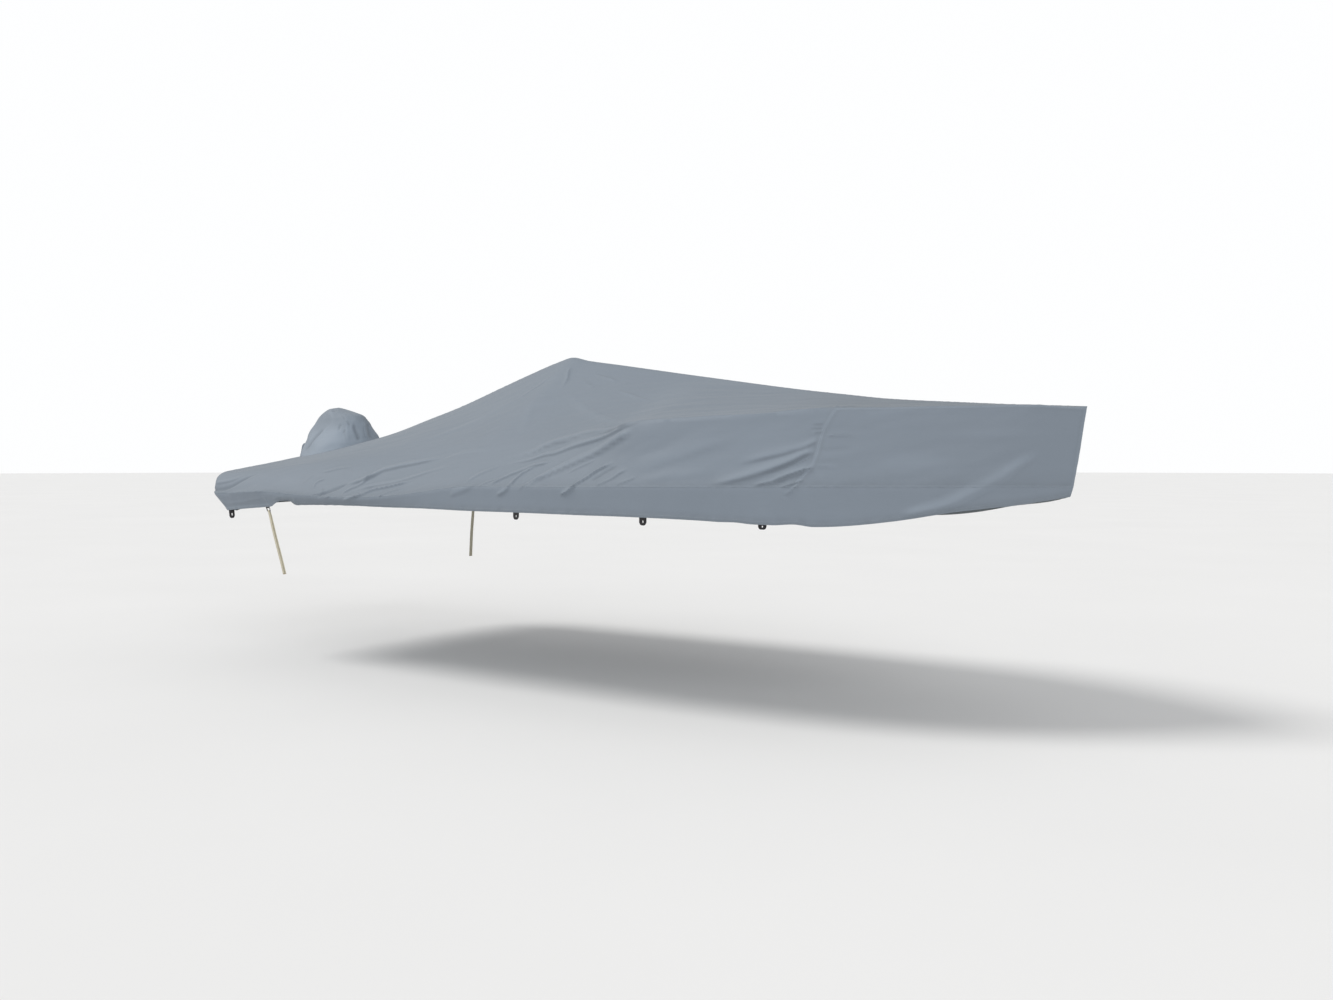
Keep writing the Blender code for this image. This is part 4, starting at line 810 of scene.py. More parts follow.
def thread_material(name, colour):
    m, t, s = nodes_of(name)
    place = t.nodes.new("ShaderNodeTexCoord").outputs["Object"]
    n = noise(t, place, 900.0, 2.0, .5)
    base = mix(t, n, tuple(c * .80 for c in colour[:3]) + (1,), tuple(min(1, c * 1.15) for c in colour[:3]) + (1,))
    t.links.new(base, s.inputs["Base Color"])
    s.inputs["Roughness"].default_value = .58
    bump(t, s, [(n, .0002, .5)])
    return m


def webbing_material(name, colour, ribs=.0016, edge=.0125, wear_colour=None):
    """Woven webbing: ribs across, a herringbone hint and soiling."""
    m, t, s = nodes_of(name)
    uv = t.nodes.new("ShaderNodeUVMap")
    uv.uv_map = "cloth_m"
    sep = t.nodes.new("ShaderNodeSeparateXYZ")
    t.links.new(uv.outputs["UV"], sep.inputs[0])
    along, across = sep.outputs["X"], sep.outputs["Y"]
    zig = math_node(t, "PINGPONG", math_node(t, "MULTIPLY", across, 1.0), .0032)
    rib = math_node(t, "SINE", math_node(t, "MULTIPLY", math_node(t, "ADD", along, math_node(t, "MULTIPLY", zig, .7)), 2 * math.pi / ribs))
    rib = math_node(t, "MULTIPLY_ADD", rib, .5, .5)
    cord = math_node(t, "MULTIPLY_ADD", math_node(t, "SINE", math_node(t, "MULTIPLY", across, 2 * math.pi / .0016)), .5, .5)
    yarn = math_node(t, "MULTIPLY_ADD", cord, .35, math_node(t, "MULTIPLY", rib, .65))
    place = t.nodes.new("ShaderNodeTexCoord").outputs["Object"]
    cloud = noise(t, place, 24.0, 4.0, .6)
    fuzz = noise(t, place, 700.0, 2.0, .6)
    base = mix(t, cloud, tuple(c * .78 for c in colour[:3]) + (1,), tuple(min(1, c * 1.18) for c in colour[:3]) + (1,))
    base = mix(t, math_node(t, "MULTIPLY_ADD", yarn, -.42, .42), base, tuple(c * .42 for c in colour[:3]) + (1,))
    base = mix(t, math_node(t, "MULTIPLY", fuzz, .20), base, wear_colour or tuple(min(1, c * 1.5 + .01) for c in colour[:3]) + (1,))
    t.links.new(base, s.inputs["Base Color"])
    t.links.new(math_node(t, "MULTIPLY_ADD", cloud, .14, .62), s.inputs["Roughness"])
    s.inputs["Specular IOR Level"].default_value = .30
    s.inputs["Sheen Weight"].default_value = .12
    s.inputs["Sheen Roughness"].default_value = .5
    bump(t, s, [(fuzz, .0002, .35), (yarn, .0005, .8)])
    return m


CLOTH_COLOUR = (.174, .205, .243, 1)
CLOTH_M = cloth_material("cover_cloth", CLOTH_COLOUR)
# the hood's copy of the cloth is painted lighter, with stronger pale marks, as painted light
HOOD_M = cloth_material("cover_cloth_hood", tuple(c * 1.05 for c in CLOTH_COLOUR[:3]) + (1,), rub_and_highlight_gain=2.0)
INSIDE_M = cloth_material("cover_cloth_inside", (.250, .278, .300, 1), inside=True)
THREAD_M = thread_material("thread", (.330, .370, .405, 1))
BLACK_M = webbing_material("black_webbing", (.0135, .0135, .0150, 1))
TAN_M = webbing_material("tan_webbing", (.560, .520, .400, 1), ribs=.0020)
TAN_END_M = webbing_material("tan_webbing_sealed_end", (.300, .250, .150, 1), ribs=.0020)

made = []


def finish_piece(ob, slot, *nodes):
    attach(ob, "root")
    if nodes:
        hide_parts(*nodes)
    made.append(ob)
    return ob


def wear_and_light_of(q, side, part):
    """Wear, dirt and painted light of a panel: red is painted highlight on crests and rubbing at seams and the hem,
    green is dirt and painted shade, blue is painted shade on the folds' lower flanks and troughs.
    """
    h, lee_shade = fold_fields(q, FOLDS[side])
    # crests are painted paler as a highlight, troughs darker as painted shade
    rub_and_highlight = np.clip(h / .012, 0, 1) * .8
    dirt_and_shade = np.clip(-h / .010, 0, 1) * .35
    if part == "skirt":
        d = q[:, 1] - hem_w(q[:, 0], side)
        # the hem band round the stern corner is painted paler as a highlight, and gets less dirt there
        corner = step((.80 - q[:, 0]) / .25)
        dirt_and_shade = dirt_and_shade + .9 * step((.06 - d) / .06) * (1 - .9 * corner)
        rub_and_highlight = rub_and_highlight + .5 * step((.006 - d) / .006) + .8 * corner * step((.034 - d) / .012)
        lee_shade = lee_shade * .5
    else:
        seam = np.minimum(far(q, SEAM_TREE), np.maximum(q[:, 1], 0))
        rub_and_highlight = rub_and_highlight + .55 * step((.012 - seam) / .010)
        clear = step((q[:, 0] - HOOD_U - HOOD_HALF_U - .05) / .10)
        dirt_and_shade = dirt_and_shade + .30 * clear * step((seam - .010) / .006) * step((.032 - seam) / .014)
        # darker towards the gunwale seam
        dirt_and_shade = dirt_and_shade + .35 * step((.12 - q[:, 1]) / .12)
        # painted shade darkens the foredeck's top, which slopes away from the light
        dirt_and_shade = dirt_and_shade + .95 * step((q[:, 0] - 4.3) / 1.1) * step((q[:, 1] - widths(q[:, 0])[1] + .01) / .05)
    return np.stack([np.clip(rub_and_highlight, 0, 1), np.clip(dirt_and_shade, 0, 1), lee_shade], -1)


# ------------------------------------------------------------ the panels
def top_panel(side):
    post, rail = seam_line("post"), seam_line("rail")
    oval = seam_line("hood")
    ridge_u = np.concatenate([np.arange(HOOD_U + HOOD_HALF_U, U1 - EDGE / 3, EDGE), [U1]])
    aft_u = np.arange(U0, HOOD_U - HOOD_HALF_U - EDGE / 3, EDGE)
    gun = seam_line("gunwale")
    gun = gun[gun[:, 0] < POST_SEAM[-1][0] - EDGE / 2]
    gun = np.concatenate([gun, [post[-1]]])
    ridge_fore = np.stack([ridge_u, whole(ridge_u)], -1)
    ridge_aft = np.concatenate([np.stack([aft_u, whole(aft_u)], -1), oval[-1:]])
    stern = resample(np.array([(U0, 0.0), (U0, float(whole(U0)))]), EDGE)
    stem = np.array([(U1, float(widths(U1)[1])), (U1, float(whole(U1)))])
    rims = [gun, post[::-1], rail, stem, ridge_fore[::-1], oval, ridge_aft[::-1], stern[::-1]]

    def inside(q):
        u, w = q[:, 0], q[:, 1]
        floor = np.where(u > POST_SEAM[0][0], widths(u)[1], np.where(u > POST_SEAM[-1][0], POST_SHARE(u) * widths(u)[1], 0))
        hood = (np.abs((u - HOOD_U) / HOOD_HALF_U)**HOOD_POWER + np.abs((whole(u) - w) / HOOD_HALF_Y)**HOOD_POWER) < 1
        return (w > floor) & (w < whole(u)) & (u > U0) & (u < U1) & ~hood

    at = (.0022, .0115, .0160)
    rails = [(gun, at), (post, tuple(-x for x in at)), (rail, at), (ridge_fore, tuple(-x for x in at)),
             (ridge_aft, tuple(-x for x in at)), (oval, at), (stern, tuple(-x for x in at))]
    rails += [(ridge_fore, (-.030, -.045)), (rail, (.030, .045)), (gun, (.024,))]
    q, tri = region(rims, inside, FOLDS[side], rails=rails)
    v = outer(q, side, "top") - ORIGIN
    ob = sheet_object("top_panel_" + side + "_cloth", v, tri, q, [CLOTH_M, INSIDE_M], lap_thick(q),
                      wear_and_light_of(q, side, "top"), flip=side == "port")
    return finish_piece(ob, "cloth", "top_panel_" + side), q


def bow_panel(side):
    post, rail = seam_line("post"), seam_line("rail")
    gun = seam_line("gunwale")
    gun = gun[gun[:, 0] > POST_SEAM[-1][0] + EDGE / 2]
    gun = np.concatenate([[post[-1]], gun[gun[:, 0] < U1 - EDGE / 3], [(U1, 0.0)]])
    stem = resample(np.array([(U1, 0.0), (U1, float(widths(U1)[1]))]), EDGE)
    rims = [gun, stem, rail[::-1], post]

    def inside(q):
        u, w = q[:, 0], q[:, 1]
        roof = np.where(u > POST_SEAM[0][0], widths(u)[1], POST_SHARE(u) * widths(u)[1])
        return (w > 0) & (w < roof) & (u > POST_SEAM[-1][0]) & (u < U1)

    at = (.0022, .0115, .0160)
    rails = [(gun, at), (post, at), (rail, tuple(-x for x in at)), (stem, at),
             (gun, (.024,)), (rail, (-.028, -.040))]
    q, tri = region(rims, inside, FOLDS[side], coarse=.016, rails=rails)
    v = outer(q, side, "bow") - ORIGIN
    ob = sheet_object("bow_panel_" + side + "_cloth", v, tri, q, [CLOTH_M, INSIDE_M], lap_thick(q),
                      wear_and_light_of(q, side, "bow"), flip=side == "port")
    return finish_piece(ob, "cloth", "bow_panel_" + side), q


def skirt(side):
    u = np.append(np.arange(U0, U1 - EDGE / 3, EDGE), U1)
    hem = np.stack([u, hem_w(u, side)], -1)
    lap = np.stack([u, np.full(len(u), LAP)], -1)
    stem = resample(np.array([hem[-1], lap[-1]]), .010)
    stern = resample(np.array([lap[0], hem[0]]), .010)
    rims = [hem, stem, lap[::-1], stern]

    def inside(q):
        return (q[:, 1] > hem_w(q[:, 0], side)) & (q[:, 1] < LAP) & (q[:, 0] > U0) & (q[:, 0] < U1)

    level = lambda w: np.stack([u, np.full(len(u), w)], -1)
    rails = [(hem, (.0020, .0200, .0235)), (level(-.001), (0.0,)), (level(-.005), (0.0,)), (level(-.011), (0.0,)),
             (level(-.021), (0.0,)), (level(.004), (0.0,))]
    q, tri = region(rims, inside, FOLDS[side], coarse=.0130, rails=rails)
    v = outer(q, side, "skirt") - ORIGIN
    d = q[:, 1] - hem_w(q[:, 0], side)
    thick = CLOTH + HEM_THICK * step((HEM_W - d) / .003) * (.1 + .9 * step(d / .002))
    ob = sheet_object("skirt_" + side + "_cloth", v, tri, q, [CLOTH_M, INSIDE_M], thick,
                      wear_and_light_of(q, side, "skirt"), flip=side == "port")
    return finish_piece(ob, "cloth", "skirt_" + side), q


def stern_panel():
    """Sheet across the transom, hung in the curve of the stern seam."""
    foot, top = -float(widths(U0)[2]), float(whole(U0))
    w = np.concatenate([[foot], np.arange(foot + EDGE, top - EDGE / 3, EDGE), [top]])
    line = np.stack([np.full(len(w), U0), w], -1)
    part = np.where(w < 0, 0, 1)
    pts = {}
    for side in ("starboard", "port"):
        n = normal_of(line)
        p = smooth_surface(line[:, 0], line[:, 1]) + n * (.0003 * part)[:, None]
        p[-1, 1] = 0
        pts[side] = p * (np.array([1, -1, 1.0]) if side == "port" else 1)
    ring = np.concatenate([pts["starboard"], pts["port"][::-1][1:]])       # hem, over the ridge, hem
    yz = ring[:, 1:]
    half = abs(yz[0, 0])
    y = np.arange(half - EDGE, -half + EDGE / 2, -EDGE)
    low = np.stack([y, yz[0, 1] + STERN_ARCH * (1 - (y / half)**4)], -1)
    rim = np.concatenate([yz, low])[::-1]
    hem_line = np.concatenate([yz[-1:], low, yz[:1]])
    seam_tree = tree_of(yz)
    hem_tree = tree_of(hem_line)

    def place(q):
        y, z = q[:, 0], q[:, 1]
        x = -0.262 - 0.022 * (1 - y * y) + 1.12 * np.maximum(0.0, 1.395 - z)
        # rounded bend where the panel turns in below the transom's edge
        x = x + 1.12 * rounding(z, 1.395, .045)
        return x - 0.035 * (1 - np.minimum(1.0, np.abs(y))**2) * np.maximum(0.0, 1 - np.abs(z - 1.36) / .22)**1.3

    miss = ring[:, 0] - place(yz)
    # a scan line from hem to ridge gives the panel's inside
    order = np.argsort(yz[:len(w), 1])
    zs, ys = yz[:len(w)][order, 1], np.abs(yz[:len(w)][order, 0])

    def inside(q):
        edge = np.interp(q[:, 1], zs, ys)
        return (np.abs(q[:, 0]) < edge - .001) & (q[:, 1] > np.interp(q[:, 0], low[::-1, 0], low[::-1, 1]) + .001) & (q[:, 1] < zs[-1])

    closed = np.concatenate([rim, rim[:1]])
    rails = [(yz, (-.0022, -.0115, -.0160)), (hem_line, (-.0022, -.020, -.0235))]
    q, tri = region([closed], inside, STERN_FOLDS, coarse=.018, rails=rails)
    near = [seam_tree.find((p[0], p[1], 0)) for p in q]
    d = np.array([n[2] for n in near])
    idx = np.array([n[1] for n in near])
    fix = miss[idx]
    # even out the correction over the nearest seam points
    tree = seam_tree
    for i, p in enumerate(q):
        found = tree.find_n((p[0], p[1], 0), 12)
        ww = np.array([1 / (f[2] + .004)**2 for f in found])
        fix[i] = (ww * miss[[f[1] for f in found]]).sum() / ww.sum()
    on_seam = d < 1e-5
    fix[on_seam] = miss[idx[on_seam]]
    x = place(q) + fix * np.exp(-(d / .11)**2)
    dh = far(q, hem_tree)
    h = fold_sum(q, STERN_FOLDS) * step(d / .05) + .0022 * waves(q, 61, 14, .25, .7, .3, .9) * step(d / .15)
    h += .0008 * waves(q, 62, 18, .06, .16, 1.5, .4) * step(d / .05)
    h += welt(d) + HEM_RISE * step((HEM_W - dh) / .003) * (.1 + .9 * step(dh / .002))
    v = np.stack([x - h, q[:, 0], q[:, 1]], -1) - ORIGIN
    thick = CLOTH + HEM_THICK * step((HEM_W - dh) / .003) * (.1 + .9 * step(dh / .002))
    # crests are painted paler as a highlight and seams paler with rubbing; dirt gathers at the hem; blue is painted
    # shade beside the seam
    rub_and_light = np.clip(fold_sum(q, STERN_FOLDS) / .010, 0, 1) * .7 + .5 * step((.012 - d) / .010)
    dirt_and_shade = .8 * step((.07 - dh) / .07) + .25 * step((.03 - d) / .02)
    wear_and_painted_light = np.stack([np.clip(rub_and_light, 0, 1), np.clip(dirt_and_shade, 0, 1), step((.02 - d) / .02)], -1)
    # (y, z) runs the other way round seen from astern
    ob = sheet_object("stern_panel_cloth", v, tri, q, [CLOTH_M, INSIDE_M], thick, wear_and_painted_light, flip=True)
    return finish_piece(ob, "cloth", "stern_panel"), q, yz, hem_line, v


# ------------------------------------------------------------ the hood
def hood_grid():
    """Rows of points from the base oval up to the top, and their (angle, share)."""
    angle = np.linspace(0, 2 * math.pi, HOOD_AROUND, endpoint=False)
    ex, ey = superoval(angle, HOOD_HALF_U, HOOD_HALF_Y, HOOD_POWER)
    u = HOOD_U + ex
    base = smooth_surface(u, whole(u) - np.abs(ey))
    base[:, 1] = -np.abs(base[:, 1]) * np.sign(ey + 1e-12)
    base[np.abs(ey) < 1e-9, 1] = 0
    keys = [(0.0, None)] + [(r[0], r) for r in HOOD_RINGS] + [(1.0, None)]
    rings = []
    for share, row in keys:
        if share == 0:
            rings.append(base)
            continue
        half_x, half_y, shift = row[1:] if row else (.0, .0, -.045)
        power = HOOD_POWER if share < .8 else 2.3
        px, py = superoval(angle, half_x, half_y, power)
        z = base[:, 2] * (1 - share) + HOOD_TOP_Z * share
        rings.append(np.stack([HOOD_X + shift + px, -py, z], -1))
    rings = np.array(rings)
    # even rows by the mean distance up the hood
    size = np.linalg.norm(np.diff(rings, axis=0), axis=2).mean(1)
    s = np.concatenate([[0], np.cumsum(size)])
    rows = np.linspace(0, s[-1], HOOD_UP + 1)[:-1]
    rows = np.concatenate([[0, .0022, .0115, .0160], rows[rows > .022]])
    shares = np.interp(rows, s, [k[0] for k in keys])
    out = np.zeros((len(rows), HOOD_AROUND, 3))
    for k in range(HOOD_AROUND):
        for c in range(3):
            out[:, k, c] = Line(s, rings[:, k, c])(rows)
    return angle, rows, shares, out, rings[-1, 0], s[-1]


def motor_hood():
    angle, rows, shares, grid, tip, height = hood_grid()
    n_rows, n = len(rows), len(angle)
    v = grid.reshape(-1, 3)
    top = np.array([HOOD_X - .045, 0, HOOD_TOP_Z])
    v = np.concatenate([v, [top]])
    i = np.arange(n)
    quads = []
    for r in range(n_rows - 1):
        a, b = r * n + i, r * n + (i + 1) % n
        quads.append(np.stack([a, a + n, b + n, b], -1))
    quads = np.concatenate(quads)
    last = (n_rows - 1) * n
    fan = np.stack([last + i, np.full(n, len(v) - 1), last + (i + 1) % n], -1)
    tri = np.concatenate([quads[:, [0, 1, 2]], quads[:, [0, 2, 3]], fan])
    normal = vertex_normals(v, tri)
    if (normal[:n, 0] * np.cos(angle)).sum() < 0:
        tri, quads, fan, normal = tri[:, ::-1], quads[:, ::-1], fan[:, ::-1], -normal
    # folds, in metres round the hood and up it
    around = np.degrees(np.concatenate([np.tile(angle, n_rows), [0]]))
    share = np.concatenate([np.repeat(shares, n), [1]])
    q = np.stack([around, share], -1)
    radius = .25
    scale = (math.radians(1) * radius, height)
    h, lee_shade = np.zeros(len(v)), np.zeros(len(v))
    for turn in (-360, 0, 360):
        more, more_lee_shade = fold_fields(q + (turn, 0), HOOD_FOLDS, scale)
        h, lee_shade = h + more, lee_shade + more_lee_shade
    fade = step((1.0 - share) / .10) * step(share / .03)
    d = np.concatenate([np.repeat(rows, n), [1]])
    # soft wrinkles, fading out towards the foot and the top
    soft = .0016 * waves(np.stack([around * scale[0], share * height], -1), 71, 16, .10, .28, 1.2, .5)
    ang = np.radians(around)
    soft += .0016 * np.sin(3 * ang + 1) * np.sin(9 * share + 2)
    h = h * fade + soft * fade * step(share / .12) + welt(d)
    v = v + normal * h[:, None]
    uv = np.stack([around * scale[0], share * height], -1)
    # painted light: its sides and its front above the deck are painted paler, most round the front's starboard corner;
    # crests are paler as a highlight and troughs darker as painted shade
    rub_and_light = np.clip(h / .010, 0, 1) * .5 + 1.0 * step((.80 - share) / .45) * (.55 + .45 * np.cos(ang - math.radians(40)))
    dirt_and_shade = np.clip(-h / .010, 0, 1) * .3
    wear_and_painted_light = np.stack([np.clip(rub_and_light, 0, 1), np.clip(dirt_and_shade, 0, 1), np.clip(lee_shade * fade, 0, 1)], -1)
    # one mesh of quads with a fan of triangles at the top, and the same inside
    nn = vertex_normals(v, tri)
    inner = v - nn * CLOTH
    count = len(v)
    rim = np.stack([i, (i + 1) % n], -1)
    if (tri[0] == [0, n, n + 1]).all():
        rim_q = np.stack([i, (i + 1) % n, (i + 1) % n + count, i + count], -1)
    else:
        rim_q = np.stack([(i + 1) % n, i, i + count, (i + 1) % n + count], -1)
    sets = [quads, fan, quads[:, ::-1] + count, fan[:, ::-1] + count, rim_q]
    mat = np.concatenate([np.zeros(len(quads) + len(fan)), np.ones(len(quads) + len(fan)), np.zeros(n)])
    ob = mesh_object("motor_hood_cloth", np.concatenate([v, inner]) - ORIGIN, sets, np.concatenate([uv, uv]),
                     [HOOD_M, INSIDE_M], mat, np.concatenate([wear_and_painted_light, wear_and_painted_light]))
    finish_piece(ob, "cloth", "motor_hood")
    return ob, angle, rows, shares, v[:-1].reshape(n_rows, n, 3), nn[:-1].reshape(n_rows, n, 3), height


def hood_tab(angle, shares, v):
    """Small stiff tab of doubled cloth that stands out from the hood's aft foot."""
    k = int(round(math.radians(TAB_ANGLE) / (2 * math.pi) * HOOD_AROUND))
    column = v[:, k]
    z_low = np.interp(TAB_FOOT, shares, column[:, 2])
    out = column[8] - np.array([HOOD_X, 0, column[8][2]])
    out[2] = 0
    out /= np.linalg.norm(out)
    side = np.cross(out, (0, 0, 1))
    ups, outs = 18, 8
    pos, uv = [], []
    for i in range(ups + 1):
        s = TAB_FOOT + (TAB_TOP - TAB_FOOT) * i / ups
        foot = np.array([np.interp(s, shares, column[:, c]) for c in range(3)])
        reach = TAB_OUT * (1 - .30 * step((i / ups - .80) / .2)) * (1 - .16 * step((.12 - i / ups) / .12))
        for j in range(outs + 1):
            t = j / outs
            bend = .0022 * math.sin(3.0 * i / ups + .6) * t * t
            pos.append(foot + out * (.0012 + (reach - .0012) * t) + side * (bend + .0011) - np.array([0, 0, .002 * t]))
            uv.append((t * reach, i * .006))
    pos = np.array(pos)
    w = outs + 1
    a = np.array([i * w + j for i in range(ups) for j in range(outs)])
    quads = np.stack([a, a + 1, a + w + 1, a + w], -1)
    n = vertex_normals(pos, quads)
    if (n.mean(0) @ side) < 0:
        quads = quads[:, ::-1]
    edge = np.array([min(j, outs - j, i, ups - i) for i in range(ups + 1) for j in range(outs + 1)])
    thick = np.where(edge == 0, .0013, .0022)
    wear_and_painted_light = np.stack([np.clip(.9 - edge * .4, 0, 1), 0 * edge + .2, 0 * edge], -1)
    ob = sheet_object("hood_tab_cloth", pos - ORIGIN, quads, np.array(uv), [CLOTH_M], thick, wear_and_painted_light)
    return finish_piece(ob, "cloth", "hood_tab")


# ------------------------------------------------------------ the stitching
def threads(name, runs, slot="cloth"):
    """Rows of sewn stitches; each run is (points, normals) one pitch apart."""
    verts, tris = [], []
    base = 0
    for p, n, pitch in runs:
        d = np.gradient(p, axis=0)
        d /= np.maximum(np.linalg.norm(d, axis=1), 1e-9)[:, None]
        s = np.cross(n, d)
        long, half, up = .74 * pitch / 2, .00055, .00075
        ends = (p - d * long - n * .0002, p + d * long - n * .0002)
        ring = (p + s * half + n * .0002, p + n * up, p - s * half + n * .0002, p - n * .0004)
        block = np.stack([ends[0], ends[1], *ring], 1)               # six points a stitch
        verts.append(block.reshape(-1, 3))
        k = len(p)
        first = base + 6 * np.arange(k)
        for a, b in ((2, 3), (3, 4), (4, 5), (5, 2)):
            tris.append(np.stack([first, first + a, first + b], -1))
            tris.append(np.stack([first + 1, first + b, first + a], -1))
        base += 6 * k
    v, f = np.concatenate(verts), np.concatenate(tris)
    ob = mesh_object(name, v - ORIGIN, [f], v[:, :2], [THREAD_M], sharp=80)
    return finish_piece(ob, slot)


def sewn(line, side, part, offset, pitch=.0065, lift=.0):
    """A row of stitches at offset to the left of the (u, w) line."""
    fine = resample(line, pitch)
    d = np.gradient(fine, axis=0)
    d /= np.linalg.norm(d, axis=1)[:, None]
    q = fine + np.stack([-d[:, 1], d[:, 0]], -1) * offset
    q = q[(q[:, 0] > U0 + .004) & (q[:, 0] < U1 - .006)]
    p = outer(q, side, part)
    n = normal_of(q)
    if side == "port":
        n = n * np.array([1, -1, 1.0])
    return p + n * lift, n, pitch


def stitch_side(side):
    gun, post, rail = seam_line("gunwale"), seam_line("post"), seam_line("rail")
    aft, fore = gun[gun[:, 0] < POST_SEAM[-1][0] - .01], gun[gun[:, 0] > POST_SEAM[-1][0] + .01]
    u = np.arange(HOOD_U + HOOD_HALF_U + .01, U1 - .05, .01)
    ridge = np.stack([u, whole(u)], -1)
    u2 = np.arange(U0, U1, .01)
    hem = np.stack([u2, hem_w(u2, side)], -1)
    stern = np.array([(U0, .02), (U0, float(whole(U0)) - .02)])
    runs = [sewn(aft, side, "top", .0040), sewn(aft, side, "top", .0105),
            sewn(fore, side, "bow", .0040), sewn(fore, side, "bow", .0105),
            sewn(post, side, "top", -.0050), sewn(post, side, "bow", .0050),
            sewn(rail, side, "top", .0050), sewn(rail, side, "bow", -.0050),
            sewn(ridge, side, "top", -.0055), sewn(stern, side, "top", -.0055),
            sewn(seam_line("hood"), side, "top", .0055),
            sewn(hem, side, "skirt", .0185), sewn(hem, side, "skirt", .0040)]
    threads("stitching_" + side, runs)


def stitch_stern_and_hood(yz, hem_line, stern_v, stern_q, hood):
    angle, rows, shares, v, n, height = hood
    # hood: one row round its foot
    r = int(np.argmin(np.abs(rows - .0115)))
    ring = v[r] * .5 + v[r - 1] * .5
    nn = n[r]
    closed = np.concatenate([ring, ring[:1]])
    fine = resample(np.concatenate([closed, np.concatenate([nn, nn[:1]])], axis=1), .0065)
    runs = [(fine[:, :3], fine[:, 3:] / np.linalg.norm(fine[:, 3:], axis=1)[:, None], .0065)]
    # stern panel: beside its seam and along its hem
    tree = tree_of(stern_q)
    for line, off in ((yz, -.0055), (hem_line, -.0185)):
        fine = resample(line, .0065)
        d = np.gradient(fine, axis=0)
        d /= np.linalg.norm(d, axis=1)[:, None]
        q = fine + np.stack([-d[:, 1], d[:, 0]], -1) * off
        x = []
        for p in q:
            found = tree.find_n((p[0], p[1], 0), 4)
            w = np.array([1 / (f[2] + 1e-4) for f in found])
            x.append((w * stern_v[[f[1] for f in found], 0]).sum() / w.sum() + ORIGIN[0])
        p3 = np.stack([x, q[:, 0], q[:, 1]], -1)
        runs.append((p3, np.tile([-1.0, 0, 0], (len(p3), 1)), .0065))
    threads("stitching_stern_and_hood", runs)


# ------------------------------------------------------------ webbing
def hem_frame(at, span, side):
    """Frame on the hem: along it, outboard, and up the skirt, for a loop."""
    u = np.array([at - span, at + span])
    a, b = outer(np.stack([u, hem_w(u, side) + .006], -1), side, "skirt")
    g = outer(np.array([(at, -float(widths(at)[2]) * .6)]), side, "skirt")[0]
    drop = (a + b) / 2 - g
    a, b = a + drop / np.linalg.norm(drop) * .006, b + drop / np.linalg.norm(drop) * .006
    mid = (a + b) / 2
    along = (b - a) / np.linalg.norm(b - a)
    up = g - mid
    if at < .1:                                      # the stern corner's hangs upright, turned a little
        up = np.array([0.0, 0.0, 1.0])
        k = math.radians(STERN_TURN if side == "starboard" else -STERN_TURN)
        along = np.array([along[0] * math.cos(k) - along[1] * math.sin(k),
                          along[0] * math.sin(k) + along[1] * math.cos(k), along[2]])
    up -= along * (up @ along)
    up /= np.linalg.norm(up)
    out = np.cross(along, up)
    if out[1] * mid[1] < 0:
        out = -out
    return mid, along, out, up


def strip(name, rows, uv_rows, mats, slot, nodes, thick, mat_of=None):
    """Flat webbing from rows of points across it: rounded selvedges, closed all round."""
    rows = np.asarray(rows, float)
    n_row, n = rows.shape[:2]
    v = rows.reshape(-1, 3)
    a = np.array([i * n + j for i in range(n_row - 1) for j in range(n - 1)])
    quads = np.stack([a, a + 1, a + n + 1, a + n], -1)
    normal = vertex_normals(v, quads)
    edge = np.tile(np.minimum(np.arange(n), n - 1 - np.arange(n)), n_row)
    t = thick * np.where(edge == 0, .45, np.where(edge == 1, .88, 1.0))
    outer_v, inner_v = v + normal * (t / 2)[:, None], v - normal * (t / 2)[:, None]
    count = len(v)
    aa = np.concatenate([quads[:, i] for i in range(4)])
    bb = np.concatenate([quads[:, (i + 1) % 4] for i in range(4)])
    rim = ~np.isin(aa * count + bb, bb * count + aa)
    aa, bb = aa[rim], bb[rim]
    side = np.stack([bb, aa, aa + count, bb + count], -1)
    sets = [quads, quads[:, ::-1] + count, side]
    uv = np.asarray(uv_rows, float).reshape(-1, 2)
    mat = None
    if mat_of is not None:
        m = mat_of(quads // n)
        mat = np.concatenate([m, m, np.zeros(len(side))])
    ob = mesh_object(name, np.concatenate([outer_v, inner_v]) - ORIGIN, sets, np.concatenate([uv, uv]), mats, mat, sharp=60)
    return ob


